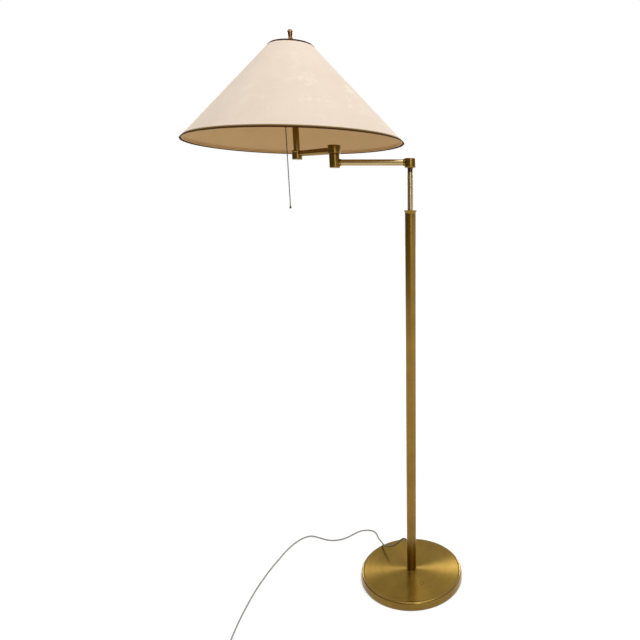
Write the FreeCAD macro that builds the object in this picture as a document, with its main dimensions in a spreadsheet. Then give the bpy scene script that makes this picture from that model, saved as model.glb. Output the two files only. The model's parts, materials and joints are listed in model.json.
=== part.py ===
"""A bridge floor lamp: a heavy round base, a telescoping pole, a two-piece swing arm and a cone shade.

Millimetres. The origin is the middle of the underside, on the pole's axis. +Z is up, and the lamp is
seen from -Y. Sizes are cells of the sheet; every piece takes its shape and its place from them.
"""
import FreeCAD
import Part
import Sketcher

import math
import os
import re

doc = FreeCAD.newDocument("bridge_floor_lamp")
sheet = doc.addObject("Spreadsheet::Sheet", "Sizes")

SIZES = [
    # base
    ("base_radius", 140.0, "outermost edge of the base"),
    ("base_height", 22.0, "floor to the flat top of the base"),
    ("base_edge_round", 5.5, "rounding between the top and the wall"),
    ("base_wall_flare", 1.6, "how far the wall leans out to the foot"),
    ("base_flare_height", 9.0, "floor to the end of the flare"),
    ("cover_thickness", 1.0, "spun brass sheet"),
    ("cover_lift", 1.0, "floor to the edge of the cover"),
    ("felt_thickness", 2.0, "felt under the base"),
    ("felt_margin", 4.5, "cover's edge to the felt's edge"),
    ("weight_gap", 1.2, "iron to the cover's wall"),
    ("well_radius", 16.0, "recess under the iron for the nut"),
    ("well_depth", 10.0, "depth of that recess"),
    # threaded tubes and their nuts
    ("pipe_radius", 4.85, "thread of the lamp pipes"),
    ("pipe_bore_radius", 3.2, "wire way in the pipes"),
    ("thread_gap", 0.05, "thread to its hole"),
    ("running_gap", 0.06, "pivot pipe to the hub that turns on it"),
    ("nut_flats", 14.3, "width across flats"),
    ("nut_thickness", 4.0, "thin hexagon nut"),
    ("washer_radius", 8.0, "steel washer"),
    ("washer_thickness", 1.2, "steel washer"),
    ("base_washer_radius", 13.5, "wide washer under the iron"),
    ("foot_pipe_tail", 6.5, "pipe below the iron's recess roof"),
    ("foot_pipe_rise", 16.0, "pipe above the base's top"),
    # pole
    ("pole_radius", 12.7, "one inch tube"),
    ("pole_wall", 1.2, "tube wall"),
    ("pole_length", 949.5, "tube above the base"),
    ("fit_gap", 0.05, "plug or sleeve to its tube"),
    ("foot_plug_height", 20.0, "threaded plug in the pole's foot"),
    ("collar_spigot", 14.0, "collar's sleeve inside the pole"),
    ("collar_bore_radius", 9.0, "collar's bore"),
    ("collar_flare_radius", 14.9, "lip of the flared cup"),
    ("collar_flare_height", 6.5, "height of the flared cup"),
    ("collar_lip", 0.8, "thickness of the lip"),
    ("collet_sleeve", 12.0, "nylon sleeve in the collar"),
    ("collet_rise", 4.5, "cone above the collar's lip"),
    ("collet_nose_radius", 7.4, "top of the cone"),
    ("slide_gap", 0.08, "rod to its guides"),
    # inner rod and post pivot
    ("rod_radius", 6.35, "half inch tube"),
    ("rod_wall", 1.2, "tube wall"),
    ("rod_reach", 92.5, "rod's top above the pole's top"),
    ("rod_hidden", 237.0, "rod inside the pole"),
    ("rod_guide_height", 16.0, "nylon guide on the rod's foot"),
    ("rod_guide_floor", 2.0, "rim under the rod's foot"),
    ("neck_radius", 5.9, "dark neck under the post hub"),
    ("neck_height", 8.2, "length of that neck"),
    ("spigot_length", 15.0, "neck's spigot in the rod"),
    ("post_washer_radius", 6.6, "nylon washer under the post hub"),
    ("nylon_thickness", 0.7, "nylon friction washers"),
    # hubs and arms
    ("post_hub_radius", 12.5, "hub on the rod"),
    ("post_hub_height", 20.5, "hub on the rod"),
    ("post_hub_round", 2.5, "its lower edge"),
    ("post_arm_rise", 11.7, "hub's underside to the arm's axis"),
    ("hub_floor", 5.0, "floor under the nut"),
    ("hub_edge", 0.9, "small rounding of the hubs' edges"),
    ("cap_radius", 9.9, "cap that closes a hub"),
    ("cap_thickness", 2.0, "cap that closes a hub"),
    ("nut_well_radius", 8.7, "hollow round the nut"),
    ("arm_socket_depth", 1.5, "arm tube set into the hub's face"),
    ("root_length", 3.5, "taper where an arm leaves its hub"),
    ("root_lip", 0.5, "taper's thin end round the arm"),
    ("arm_1_root", 1.7, "taper's thick end round the first arm"),
    ("arm_2_root", 0.5, "taper's thick end round the second arm"),
    ("wire_way_radius", 2.4, "drilled way for the wire"),
    ("arm_1_length", 169.8, "post axis to elbow axis"),
    ("arm_1_radius", 6.75, "first arm's tube"),
    ("arm_wall", 1.2, "tube wall"),
    ("arm_1_heading", 175.6, "direction of the first arm at rest, degrees"),
    ("lower_hub_radius", 11.0, "lower hub of the elbow"),
    ("lower_hub_height", 27.6, "lower hub of the elbow"),
    ("lower_arm_rise", 9.4, "its underside to the first arm's axis"),
    ("lower_hub_bore", 10.0, "threaded depth for the elbow's pipe"),
    ("upper_hub_radius", 13.3, "upper hub of the elbow"),
    ("upper_hub_height", 17.5, "upper hub of the elbow"),
    ("upper_arm_rise", 6.3, "its underside to the second arm's axis"),
    ("elbow_washer_radius", 10.4, "nylon washer in the elbow"),
    ("arm_2_length", 119.7, "elbow axis to stem axis"),
    ("arm_2_radius", 5.75, "second arm's tube"),
    ("arm_2_heading", 141.0, "direction of the second arm at rest, degrees"),
    ("stem_hub_radius", 10.8, "hub under the stem"),
    ("stem_hub_height", 18.3, "hub under the stem"),
    ("stem_hub_flange", 1.0, "top flange beyond the hub"),
    ("stem_flange_height", 2.6, "height of that flange"),
    ("stem_arm_rise", 11.5, "its underside to the second arm's axis"),
    ("stem_socket_depth", 8.0, "stem set into its hub"),
    # stem, socket, bulb and harp
    ("stem_radius", 6.35, "half inch tube"),
    ("stem_reach", 54.6, "stem above its hub"),
    ("saddle_thickness", 1.5, "harp saddle strip"),
    ("saddle_width", 13.0, "harp saddle strip"),
    ("saddle_half_length", 29.5, "harp saddle strip"),
    ("harp_foot_radius", 26.0, "stem axis to the harp's feet"),
    ("harp_post_height", 9.5, "saddle's posts"),
    ("harp_wire_radius", 1.6, "harp wire"),
    ("harp_half_width", 54.0, "harp at its widest"),
    ("harp_height", 158.5, "saddle to the seat of the shade"),
    ("harp_seat_thickness", 2.4, "disc on top of the harp"),
    ("harp_seat_radius", 6.5, "disc on top of the harp"),
    ("harp_stud_radius", 3.15, "threaded stud for the finial"),
    ("harp_stud_height", 9.0, "threaded stud for the finial"),
    ("sleeve_radius", 3.4, "ferrules that lock the harp"),
    ("sleeve_height", 13.0, "ferrules that lock the harp"),
    ("sleeve_gap", 0.15, "ferrule to the wire"),
    ("harp_heading", 90.0, "direction of the harp's width, degrees"),
    ("cap_height", 16.0, "bowl of the socket"),
    ("cap_floor_radius", 8.6, "flat under the bowl"),
    ("socket_radius", 16.9, "socket shell"),
    ("socket_wall", 0.7, "socket shell"),
    ("socket_height", 38.0, "socket shell"),
    ("socket_bead", 0.9, "rolled rim of the shell"),
    ("liner_wall", 0.9, "card liner of the socket"),
    ("liner_rise", 2.0, "liner above the shell"),
    ("core_height", 14.0, "moulded core of the socket"),
    ("screw_shell_radius", 14.0, "threaded sleeve of the socket"),
    ("screw_shell_height", 22.0, "threaded sleeve of the socket"),
    ("bulb_cap_radius", 13.2, "bulb's screw cap"),
    ("bulb_cap_height", 24.0, "bulb's screw cap"),
    ("bulb_radius", 30.0, "bulb glass"),
    ("bulb_height", 82.0, "bulb glass"),
    ("glass_wall", 0.8, "bulb glass"),
    # pull switch
    ("chain_offset", 22.7, "stem axis to the pull chain"),
    ("chain_heading", 180.0, "direction of the pull chain from the stem, degrees"),
    ("mouth_rise", 11.0, "shell's foot to the switch's arm"),
    ("mouth_radius", 3.1, "switch's arm"),
    ("bell_radius", 4.3, "mouth that the chain leaves"),
    ("bell_drop", 7.0, "length of that mouth"),
    ("bell_bore", 2.3, "hole in that mouth"),
    ("bead_radius", 1.6, "chain bead, eight-sided in section"),
    ("bead_pitch", 4.7, "chain bead to bead"),
    ("bead_count", 44, "beads on the chain"),
    ("link_radius", 0.5, "wire between beads"),
    ("ball_radius", 2.8, "ball at the chain's end"),
    # shade
    ("shade_bottom_radius", 257.0, "cone at its foot"),
    ("shade_top_radius", 48.5, "cone at its top"),
    ("shade_height", 205.0, "cone, foot to top"),
    ("shade_wall", 1.0, "laminated paper, measured level"),
    ("spider_drop", 7.0, "shade's top to the seat on the harp"),
    ("trim_thickness", 0.5, "binding"),
    ("trim_gap", 0.05, "binding to the paper"),
    ("trim_height", 7.0, "binding at the foot"),
    ("top_trim_height", 3.5, "binding at the top"),
    ("ring_wire_radius", 1.3, "wires in the shade"),
    ("ring_rise", 2.4, "foot ring above the shade's foot"),
    ("top_ring_drop", 5.2, "top ring below the shade's top"),
    ("spider_hub_radius", 14.0, "washer in the middle of the spider"),
    ("spider_hub_thickness", 1.2, "that washer"),
    ("spider_arms", 3, "arms of the spider"),
    ("finial_height", 38.8, "finial above the spider"),
    ("finial_radius", 6.4, "head of the finial"),
    ("finial_waist", 4.9, "waist under the head"),
    ("finial_waist_height", 22.0, "seat to the waist"),
    ("finial_foot_radius", 6.8, "foot of the finial"),
    # cord and plug
    ("exit_height", 99.5, "floor to the hole in the pole"),
    ("exit_heading", 125.0, "direction of the hole, degrees"),
    ("exit_hole_radius", 4.0, "hole in the pole"),
    ("bushing_reach", 9.0, "bushing's taper beyond the pole"),
    ("bushing_shank", 11.0, "bushing's shank inside the pole"),
    ("bushing_radius", 5.6, "bushing at the pole"),
    ("cord_diameter", 4.0, "mains cord"),
    ("coil_x", -411.0, "middle of the coil"),
    ("coil_y", -268.0, "middle of the coil"),
    ("coil_outer_radius", 30.0, "first turn of the coil"),
    ("coil_pitch", 4.5, "turn to turn and layer to layer"),
    ("coil_turns_in", 3, "turns that spiral in, on the floor"),
    ("coil_turns_out", 3.25, "turns that spiral out, above them"),
    ("plug_neck_length", 22.0, "tapered strain relief of the plug"),
    ("plug_length", 22.0, "body of the plug"),
    ("plug_width", 19.0, "body of the plug"),
    ("plug_thickness", 13.0, "body of the plug"),
    ("plug_round", 3.0, "edges of the plug"),
    ("blade_length", 17.0, "plug blade"),
    ("blade_width", 6.35, "plug blade"),
    ("blade_thickness", 1.5, "plug blade"),
    ("blade_spacing", 12.7, "blade to blade"),
]
NAMES = {name for name, number, words in SIZES}
for row, (name, number, words) in enumerate(SIZES, start=1):
    sheet.set("A%d" % row, name)
    sheet.set("B%d" % row, str(number))
    sheet.set("C%d" % row, words)
    sheet.setAlias("B%d" % row, name)
doc.recompute()

PIECES = []
UP = FreeCAD.Vector(0, 0, 1)
ALONG_X = FreeCAD.Rotation(UP, FreeCAD.Vector(1, 0, 0))


def sized(text):
    """The same expression, with each size's name pointing at its cell."""
    return re.sub(r"[a-z][a-z_0-9]*", lambda m: "Sizes." + m.group() if m.group() in NAMES else m.group(), text)


def value(text):
    """The number that an expression gives now."""
    return float(sheet.evalExpression(sized(text)))


def place(piece, x="0", y="0", z="0", turn="0"):
    """Binds a piece's place, and its turn about the vertical, to the sheet."""
    for axis, text in (("x", x), ("y", y), ("z", z)):
        if text != "0":
            piece.setExpression("Placement.Base." + axis, sized(text))
    if turn != "0":
        piece.setExpression("Placement.Rotation.Angle", sized(turn))
    return piece


def body_called(label):
    """A new body that is one piece of the lamp."""
    body = doc.addObject("PartDesign::Body", label)
    body.Label = label
    PIECES.append(body)
    return body


def sketch_on(body, role, name):
    """A sketch on one of the body's own planes."""
    plane = next(item for item in body.Origin.OriginFeatures if item.Role == role)
    sketch = body.newObject("Sketcher::SketchObject", name)
    sketch.AttachmentSupport = [(plane, "")]
    sketch.MapMode = "FlatFace"
    return sketch


def hold(sketch, kind, geometry, end, text):
    """Ties one coordinate of a corner to the sheet, or to the axis where it is nothing."""
    number = value(text)
    if abs(number) < 1e-9:
        axis = -2 if kind == "DistanceX" else -1
        sketch.addConstraint(Sketcher.Constraint("PointOnObject", geometry, end, axis))
    else:
        index = sketch.addConstraint(Sketcher.Constraint(kind, -1, 1, geometry, end, number))
        sketch.setExpression("Constraints[%d]" % index, sized(text))


def outline(sketch, corners):
    """A closed profile through corners (across, up).

    A corner with a radius and a side too starts an arc to the next corner; side is 1 when the arc's
    centre lies left of the way, and -1 when it lies right.
    """
    spots = [FreeCAD.Vector(value(corner[0]), value(corner[1]), 0) for corner in corners]
    ends = []
    for number, corner in enumerate(corners):
        start = spots[number]
        end = spots[(number + 1) % len(corners)]
        if len(corner) == 2:
            ends.append((sketch.addGeometry(Part.LineSegment(start, end)), 1, 2))
            continue
        radius = value(corner[2])
        side = corner[3]
        chord = end - start
        rise = math.sqrt(max(radius ** 2 - chord.Length ** 2 / 4, 0))
        left = FreeCAD.Vector(-chord.y, chord.x, 0) / chord.Length
        centre = (start + end) / 2 + left * rise * side
        angles = [math.atan2(spot.y - centre.y, spot.x - centre.x) for spot in (start, end)]
        circle = Part.Circle(centre, UP, radius)
        index = sketch.addGeometry(Part.ArcOfCircle(circle, *angles[::side]))
        ends.append((index, 1, 2) if side == 1 else (index, 2, 1))
        radius_index = sketch.addConstraint(Sketcher.Constraint("Radius", index, radius))
        sketch.setExpression("Constraints[%d]" % radius_index, sized(corner[2]))
    for number, corner in enumerate(corners):
        geometry, start, end = ends[number]
        following, first, last = ends[(number + 1) % len(corners)]
        sketch.addConstraint(Sketcher.Constraint("Coincident", geometry, end, following, first))
        hold(sketch, "DistanceX", geometry, start, corner[0])
        hold(sketch, "DistanceY", geometry, start, corner[1])


def turned(label, corners):
    """A piece turned on a lathe: its profile (radius, height) spun round the vertical."""
    body = body_called(label)
    sketch = sketch_on(body, "XZ_Plane", label + "_outline")
    outline(sketch, corners)
    spin = body.newObject("PartDesign::Revolution", label + "_turn")
    spin.Profile = sketch
    spin.ReferenceAxis = (sketch, ["V_Axis"])
    spin.Angle = 360
    body.Tip = spin
    return body


def ring(label, inner, outer, height):
    """A washer, sleeve or tube."""
    return turned(label, [(inner, "0"), (outer, "0"), (outer, height), (inner, height)])


def cut_round(body, name, radius, length, x="0", y="0", z="0", rotation=ALONG_X):
    """Drills a round hole of some length from a point of the body, level along +X unless told."""
    hole = body.newObject("PartDesign::SubtractiveCylinder", name)
    hole.Placement = FreeCAD.Placement(FreeCAD.Vector(), rotation)
    hole.setExpression("Radius", sized(radius))
    hole.setExpression("Height", sized(length))
    place(hole, x, y, z)
    body.Tip = hole
    return hole


def add_taper(body, name, first, second, length, x="0", z="0"):
    """Adds a taper that lies along +X."""
    cone = body.newObject("PartDesign::AdditiveCone", name)
    cone.Placement = FreeCAD.Placement(FreeCAD.Vector(), ALONG_X)
    cone.setExpression("Radius1", sized(first))
    cone.setExpression("Radius2", sized(second))
    cone.setExpression("Height", sized(length))
    place(cone, x, "0", z)
    body.Tip = cone
    return cone


def padded(label, role, draw, length):
    """A piece pushed straight out of one plane; draw fills in the sketch."""
    body = body_called(label)
    sketch = sketch_on(body, role, label + "_outline")
    draw(sketch)
    pad = body.newObject("PartDesign::Pad", label + "_pad")
    pad.Profile = sketch
    pad.setExpression("Length", sized(length))
    body.Tip = pad
    return body


def circles(*radii):
    """Concentric circles on the sketch's origin, each bound to the sheet."""
    def draw(sketch):
        for text in radii:
            index = sketch.addGeometry(Part.Circle(FreeCAD.Vector(), UP, value(text)))
            sketch.addConstraint(Sketcher.Constraint("Coincident", index, 3, -1, 1))
            number = sketch.addConstraint(Sketcher.Constraint("Radius", index, value(text)))
            sketch.setExpression("Constraints[%d]" % number, sized(text))
    return draw


def nut(label):
    """A thin hexagon nut with its threaded hole."""
    prism = doc.addObject("Part::Prism", label + "_hexagon")
    prism.Polygon = 6
    prism.setExpression("Circumradius", sized("nut_flats / sqrt(3)"))
    prism.setExpression("Height", sized("nut_thickness"))
    hole = doc.addObject("Part::Cylinder", label + "_hole")
    hole.setExpression("Radius", sized("pipe_radius + thread_gap"))
    hole.setExpression("Height", sized("nut_thickness"))
    cut = doc.addObject("Part::Cut", label)
    cut.Base = prism
    cut.Tool = hole
    cut.Label = label
    PIECES.append(cut)
    return cut


def washer(label):
    """A steel washer for the lamp pipe."""
    return ring(label, "pipe_radius + thread_gap", "washer_radius", "washer_thickness")


# levels, floor upwards
POLE_TOP = "(base_height + pole_length)"
CUP_TOP = "(base_height + pole_length + collar_flare_height)"
ROD_TOP = "(base_height + pole_length + rod_reach)"
POST_HUB = "(base_height + pole_length + rod_reach + neck_height + nylon_thickness)"
ARM_1_LEVEL = "(" + POST_HUB + " + post_arm_rise)"
LOWER_HUB = "(" + ARM_1_LEVEL + " - lower_arm_rise)"
LOWER_HUB_TOP = "(" + LOWER_HUB + " + lower_hub_height)"
UPPER_HUB = "(" + LOWER_HUB_TOP + " + nylon_thickness)"
ARM_2_LEVEL = "(" + UPPER_HUB + " + upper_arm_rise)"
STEM_HUB = "(" + ARM_2_LEVEL + " - stem_arm_rise)"
STEM_HUB_TOP = "(" + STEM_HUB + " + stem_hub_height)"
STEM_TOP = "(" + STEM_HUB_TOP + " + stem_reach)"
SADDLE_TOP = "(" + STEM_TOP + " + saddle_thickness)"
SHELL_FOOT = "(" + SADDLE_TOP + " + cap_height)"
CORE_TOP = "(" + SHELL_FOOT + " + core_height)"
GLASS_FOOT = "(" + CORE_TOP + " + bulb_cap_height)"
SPIDER_SEAT = "(" + SADDLE_TOP + " + harp_height)"
SHADE_FOOT = "(" + SPIDER_SEAT + " + spider_drop - shade_height)"
CHAIN_FOOT = "(" + SHELL_FOOT + " + mouth_rise - bead_radius - bead_pitch * bead_count)"

# plan of the arms
ELBOW_X = "(arm_1_length * cos(arm_1_heading))"
ELBOW_Y = "(arm_1_length * sin(arm_1_heading))"
STEM_X = "(" + ELBOW_X + " + arm_2_length * cos(arm_2_heading))"
STEM_Y = "(" + ELBOW_Y + " + arm_2_length * sin(arm_2_heading))"
POLE_BORE = "(pole_radius - pole_wall)"


# ---------------------------------------------------------------- base
turned("base_cover", [
    ("pipe_radius + 2 * thread_gap", "base_height"),
    ("pipe_radius + 2 * thread_gap", "base_height - cover_thickness"),
    ("base_radius - base_wall_flare - base_edge_round", "base_height - cover_thickness",
     "base_edge_round - cover_thickness", -1),
    ("base_radius - base_wall_flare - cover_thickness", "base_height - base_edge_round"),
    ("base_radius - cover_thickness", "base_flare_height"),
    ("base_radius - cover_thickness", "cover_lift"),
    ("base_radius", "cover_lift"),
    ("base_radius", "base_flare_height"),
    ("base_radius - base_wall_flare", "base_height - base_edge_round", "base_edge_round", 1),
    ("base_radius - base_wall_flare - base_edge_round", "base_height"),
])
IRON_RADIUS = "(base_radius - base_wall_flare - cover_thickness - weight_gap)"
turned("base_weight", [
    ("well_radius", "felt_thickness"),
    (IRON_RADIUS, "felt_thickness"),
    (IRON_RADIUS, "base_height - cover_thickness - base_edge_round"),
    (IRON_RADIUS + " - base_edge_round", "base_height - cover_thickness"),
    ("pipe_radius + 2 * thread_gap", "base_height - cover_thickness"),
    ("pipe_radius + 2 * thread_gap", "felt_thickness + well_depth"),
    ("well_radius", "felt_thickness + well_depth"),
])
felt = doc.addObject("Part::Cylinder", "felt_pad")
felt.Label = "felt_pad"
felt.setExpression("Radius", sized("base_radius - felt_margin"))
felt.setExpression("Height", sized("felt_thickness"))
PIECES.append(felt)

WELL_ROOF = "(felt_thickness + well_depth)"
base_washer = ring("base_washer", "pipe_radius + thread_gap", "base_washer_radius", "washer_thickness")
place(base_washer, z=WELL_ROOF + " - washer_thickness")
place(nut("base_nut"), z=WELL_ROOF + " - washer_thickness - nut_thickness")
foot_pipe = ring("base_pipe", "pipe_bore_radius", "pipe_radius",
                 "base_height - " + WELL_ROOF + " + foot_pipe_tail + foot_pipe_rise")
place(foot_pipe, z=WELL_ROOF + " - foot_pipe_tail")

# ---------------------------------------------------------------- pole
foot_plug = ring("pole_foot_plug", "pipe_radius + thread_gap", POLE_BORE + " - fit_gap", "foot_plug_height")
place(foot_plug, z="base_height")

pole = ring("pole", POLE_BORE, "pole_radius", "pole_length")
exit_hole = cut_round(pole, "cord_hole", "exit_hole_radius", "pole_radius + pole_wall",
                      z="exit_height - base_height")
place(pole, z="base_height", turn="exit_heading")

collar = turned("pole_collar", [
    ("collar_bore_radius", "0"),
    (POLE_BORE + " - fit_gap", "0"),
    (POLE_BORE + " - fit_gap", "collar_spigot"),
    ("pole_radius - pole_wall / 2", "collar_spigot"),
    ("pole_radius", "collar_spigot + pole_wall / 2", "2 * collar_flare_height", -1),
    ("collar_flare_radius", "collar_spigot + collar_flare_height - collar_lip"),
    ("collar_flare_radius", "collar_spigot + collar_flare_height"),
    ("collar_flare_radius - collar_lip", "collar_spigot + collar_flare_height", "2 * collar_flare_height", 1),
    ("collar_bore_radius", "collar_spigot"),
])
place(collar, z=POLE_TOP + " - collar_spigot")

collet = turned("guide_collet", [
    ("rod_radius + slide_gap", "0"),
    ("collar_bore_radius - fit_gap", "0"),
    ("collar_bore_radius - fit_gap", "collet_sleeve + collar_flare_height"),
    ("collet_nose_radius", "collet_sleeve + collar_flare_height + collet_rise"),
    ("rod_radius + slide_gap", "collet_sleeve + collar_flare_height + collet_rise"),
])
place(collet, z=POLE_TOP + " - collet_sleeve")

# ---------------------------------------------------------------- inner rod and post pivot
rod = ring("inner_rod", "rod_radius - rod_wall", "rod_radius", "rod_reach + rod_hidden")
place(rod, z=POLE_TOP + " - rod_hidden")

rod_guide = turned("rod_guide", [
    ("rod_radius - rod_wall", "0"),
    (POLE_BORE + " - slide_gap", "0"),
    (POLE_BORE + " - slide_gap", "rod_guide_height"),
    ("rod_radius + fit_gap", "rod_guide_height"),
    ("rod_radius + fit_gap", "rod_guide_floor"),
    ("rod_radius - rod_wall", "rod_guide_floor"),
])
place(rod_guide, z=POLE_TOP + " - rod_hidden - rod_guide_floor")

PIVOT_RISE = "(nylon_thickness + hub_floor + running_gap + washer_thickness + nut_thickness + 1)"
post_pivot = turned("post_pivot", [
    ("pipe_bore_radius", "0"),
    ("rod_radius - rod_wall - fit_gap", "0"),
    ("rod_radius - rod_wall - fit_gap", "spigot_length"),
    ("neck_radius", "spigot_length"),
    ("neck_radius", "spigot_length + neck_height"),
    ("pipe_radius", "spigot_length + neck_height"),
    ("pipe_radius", "spigot_length + neck_height + " + PIVOT_RISE),
    ("pipe_bore_radius", "spigot_length + neck_height + " + PIVOT_RISE),
])
place(post_pivot, z=ROD_TOP + " - spigot_length")
post_slip = ring("post_slip_washer", "pipe_radius + thread_gap", "post_washer_radius", "nylon_thickness")
place(post_slip, z=POST_HUB + " - nylon_thickness")
place(washer("post_washer"), z=POST_HUB + " + hub_floor + running_gap")
place(nut("post_nut"), z=POST_HUB + " + hub_floor + running_gap + washer_thickness")


# ---------------------------------------------------------------- hubs
def arm_root(body, label, radius, arm, rise):
    """The tapered root on a hub's side, the seat of the arm's tube and the way for the wire."""
    add_taper(body, label + "_root", arm + "_radius + " + arm + "_root", arm + "_radius + root_lip",
              "root_length + arm_socket_depth", x=radius + " - arm_socket_depth", z=rise)
    cut_round(body, label + "_seat", arm + "_radius + fit_gap", "root_length + 2 * arm_socket_depth",
              x=radius + " - arm_socket_depth", z=rise)
    cut_round(body, label + "_wire_way", "wire_way_radius", radius, z=rise)


def pivot_hub(label, radius, height, lower_round, arm, rise):
    """A hub that turns on a lamp pipe, with a hollow for the nut and a seat for its cap."""
    body = turned(label, [
        ("pipe_radius + running_gap", "0"),
        (radius + " - " + lower_round, "0", lower_round, 1),
        (radius, lower_round),
        (radius, height + " - hub_edge", "hub_edge", 1),
        (radius + " - hub_edge", height),
        ("cap_radius + fit_gap", height),
        ("cap_radius + fit_gap", height + " - cap_thickness"),
        ("nut_well_radius", height + " - cap_thickness"),
        ("nut_well_radius", "hub_floor"),
        ("pipe_radius + running_gap", "hub_floor"),
    ])
    arm_root(body, label, radius, arm, rise)
    return body


def hub_cap(label):
    """The disc that closes a hub."""
    return turned(label, [
        ("0", "0"),
        ("cap_radius", "0"),
        ("cap_radius", "cap_thickness - hub_edge / 2"),
        ("cap_radius - hub_edge / 2", "cap_thickness"),
        ("0", "cap_thickness"),
    ])


post_hub = pivot_hub("post_hub", "post_hub_radius", "post_hub_height", "post_hub_round", "arm_1",
                     "post_arm_rise")
place(post_hub, z=POST_HUB, turn="arm_1_heading")
place(hub_cap("post_hub_cap"), z=POST_HUB + " + post_hub_height - cap_thickness")

arm_1 = padded("arm_1_tube", "YZ_Plane", circles("arm_1_radius", "arm_1_radius - arm_wall"),
               "arm_1_length - post_hub_radius - lower_hub_radius + 2 * arm_socket_depth")
place(arm_1, "(post_hub_radius - arm_socket_depth) * cos(arm_1_heading)",
      "(post_hub_radius - arm_socket_depth) * sin(arm_1_heading)", ARM_1_LEVEL, "arm_1_heading")

lower_hub = turned("elbow_lower_hub", [
    ("0", "0"),
    ("lower_hub_radius - hub_edge", "0", "hub_edge", 1),
    ("lower_hub_radius", "hub_edge"),
    ("lower_hub_radius", "lower_hub_height"),
    ("pipe_radius + thread_gap", "lower_hub_height"),
    ("pipe_radius + thread_gap", "lower_hub_height - lower_hub_bore"),
    ("wire_way_radius", "lower_hub_height - lower_hub_bore"),
    ("wire_way_radius", "lower_arm_rise"),
    ("0", "lower_arm_rise"),
])
arm_root(lower_hub, "elbow_lower_hub", "lower_hub_radius", "arm_1", "lower_arm_rise")
place(lower_hub, ELBOW_X, ELBOW_Y, LOWER_HUB, "arm_1_heading + 180")

elbow_slip = ring("elbow_slip_washer", "pipe_radius + thread_gap", "elbow_washer_radius", "nylon_thickness")
place(elbow_slip, ELBOW_X, ELBOW_Y, LOWER_HUB_TOP)
elbow_pipe = ring("elbow_pivot", "pipe_bore_radius", "pipe_radius", "lower_hub_bore + " + PIVOT_RISE)
place(elbow_pipe, ELBOW_X, ELBOW_Y, LOWER_HUB_TOP + " - lower_hub_bore")
place(washer("elbow_washer"), ELBOW_X, ELBOW_Y, UPPER_HUB + " + hub_floor + running_gap")
place(nut("elbow_nut"), ELBOW_X, ELBOW_Y, UPPER_HUB + " + hub_floor + running_gap + washer_thickness")

upper_hub = pivot_hub("elbow_upper_hub", "upper_hub_radius", "upper_hub_height", "hub_edge / 2",
                      "arm_2", "upper_arm_rise")
place(upper_hub, ELBOW_X, ELBOW_Y, UPPER_HUB, "arm_2_heading")
place(hub_cap("elbow_cap"), ELBOW_X, ELBOW_Y, UPPER_HUB + " + upper_hub_height - cap_thickness")

arm_2 = padded("arm_2_tube", "YZ_Plane", circles("arm_2_radius", "arm_2_radius - arm_wall"),
               "arm_2_length - upper_hub_radius - stem_hub_radius + 2 * arm_socket_depth")
place(arm_2, ELBOW_X + " + (upper_hub_radius - arm_socket_depth) * cos(arm_2_heading)",
      ELBOW_Y + " + (upper_hub_radius - arm_socket_depth) * sin(arm_2_heading)", ARM_2_LEVEL,
      "arm_2_heading")

stem_hub = turned("stem_hub", [
    ("0", "0"),
    ("stem_hub_radius - hub_edge", "0", "hub_edge", 1),
    ("stem_hub_radius", "hub_edge"),
    ("stem_hub_radius", "stem_hub_height - stem_flange_height - stem_hub_flange"),
    ("stem_hub_radius + stem_hub_flange", "stem_hub_height - stem_flange_height"),
    ("stem_hub_radius + stem_hub_flange", "stem_hub_height - hub_edge", "hub_edge", 1),
    ("stem_hub_radius + stem_hub_flange - hub_edge", "stem_hub_height"),
    ("stem_radius + fit_gap", "stem_hub_height"),
    ("stem_radius + fit_gap", "stem_hub_height - stem_socket_depth"),
    ("0", "stem_hub_height - stem_socket_depth"),
])
arm_root(stem_hub, "stem_hub", "stem_hub_radius", "arm_2", "stem_arm_rise")
place(stem_hub, STEM_X, STEM_Y, STEM_HUB, "arm_2_heading + 180")

# ---------------------------------------------------------------- stem, saddle and socket
stem = ring("stem", "stem_radius - rod_wall", "stem_radius", "stem_socket_depth + stem_reach")
place(stem, STEM_X, STEM_Y, STEM_HUB_TOP + " - stem_socket_depth")

SOCKET_PIPE_RISE = "(saddle_thickness + washer_thickness + nut_thickness + 1)"
socket_pipe = turned("socket_pipe", [
    ("pipe_bore_radius", "0"),
    ("stem_radius - rod_wall - fit_gap", "0"),
    ("stem_radius - rod_wall - fit_gap", "stem_socket_depth"),
    ("pipe_radius", "stem_socket_depth"),
    ("pipe_radius", "stem_socket_depth + " + SOCKET_PIPE_RISE),
    ("pipe_bore_radius", "stem_socket_depth + " + SOCKET_PIPE_RISE),
])
place(socket_pipe, STEM_X, STEM_Y, STEM_TOP + " - stem_socket_depth")


def strip(sketch):
    """The saddle's strip seen from above, with its hole for the pipe."""
    outline(sketch, [
        ("-saddle_half_length", "-saddle_width / 2"),
        ("saddle_half_length", "-saddle_width / 2"),
        ("saddle_half_length", "saddle_width / 2"),
        ("-saddle_half_length", "saddle_width / 2"),
    ])
    circles("pipe_radius + thread_gap")(sketch)


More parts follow.
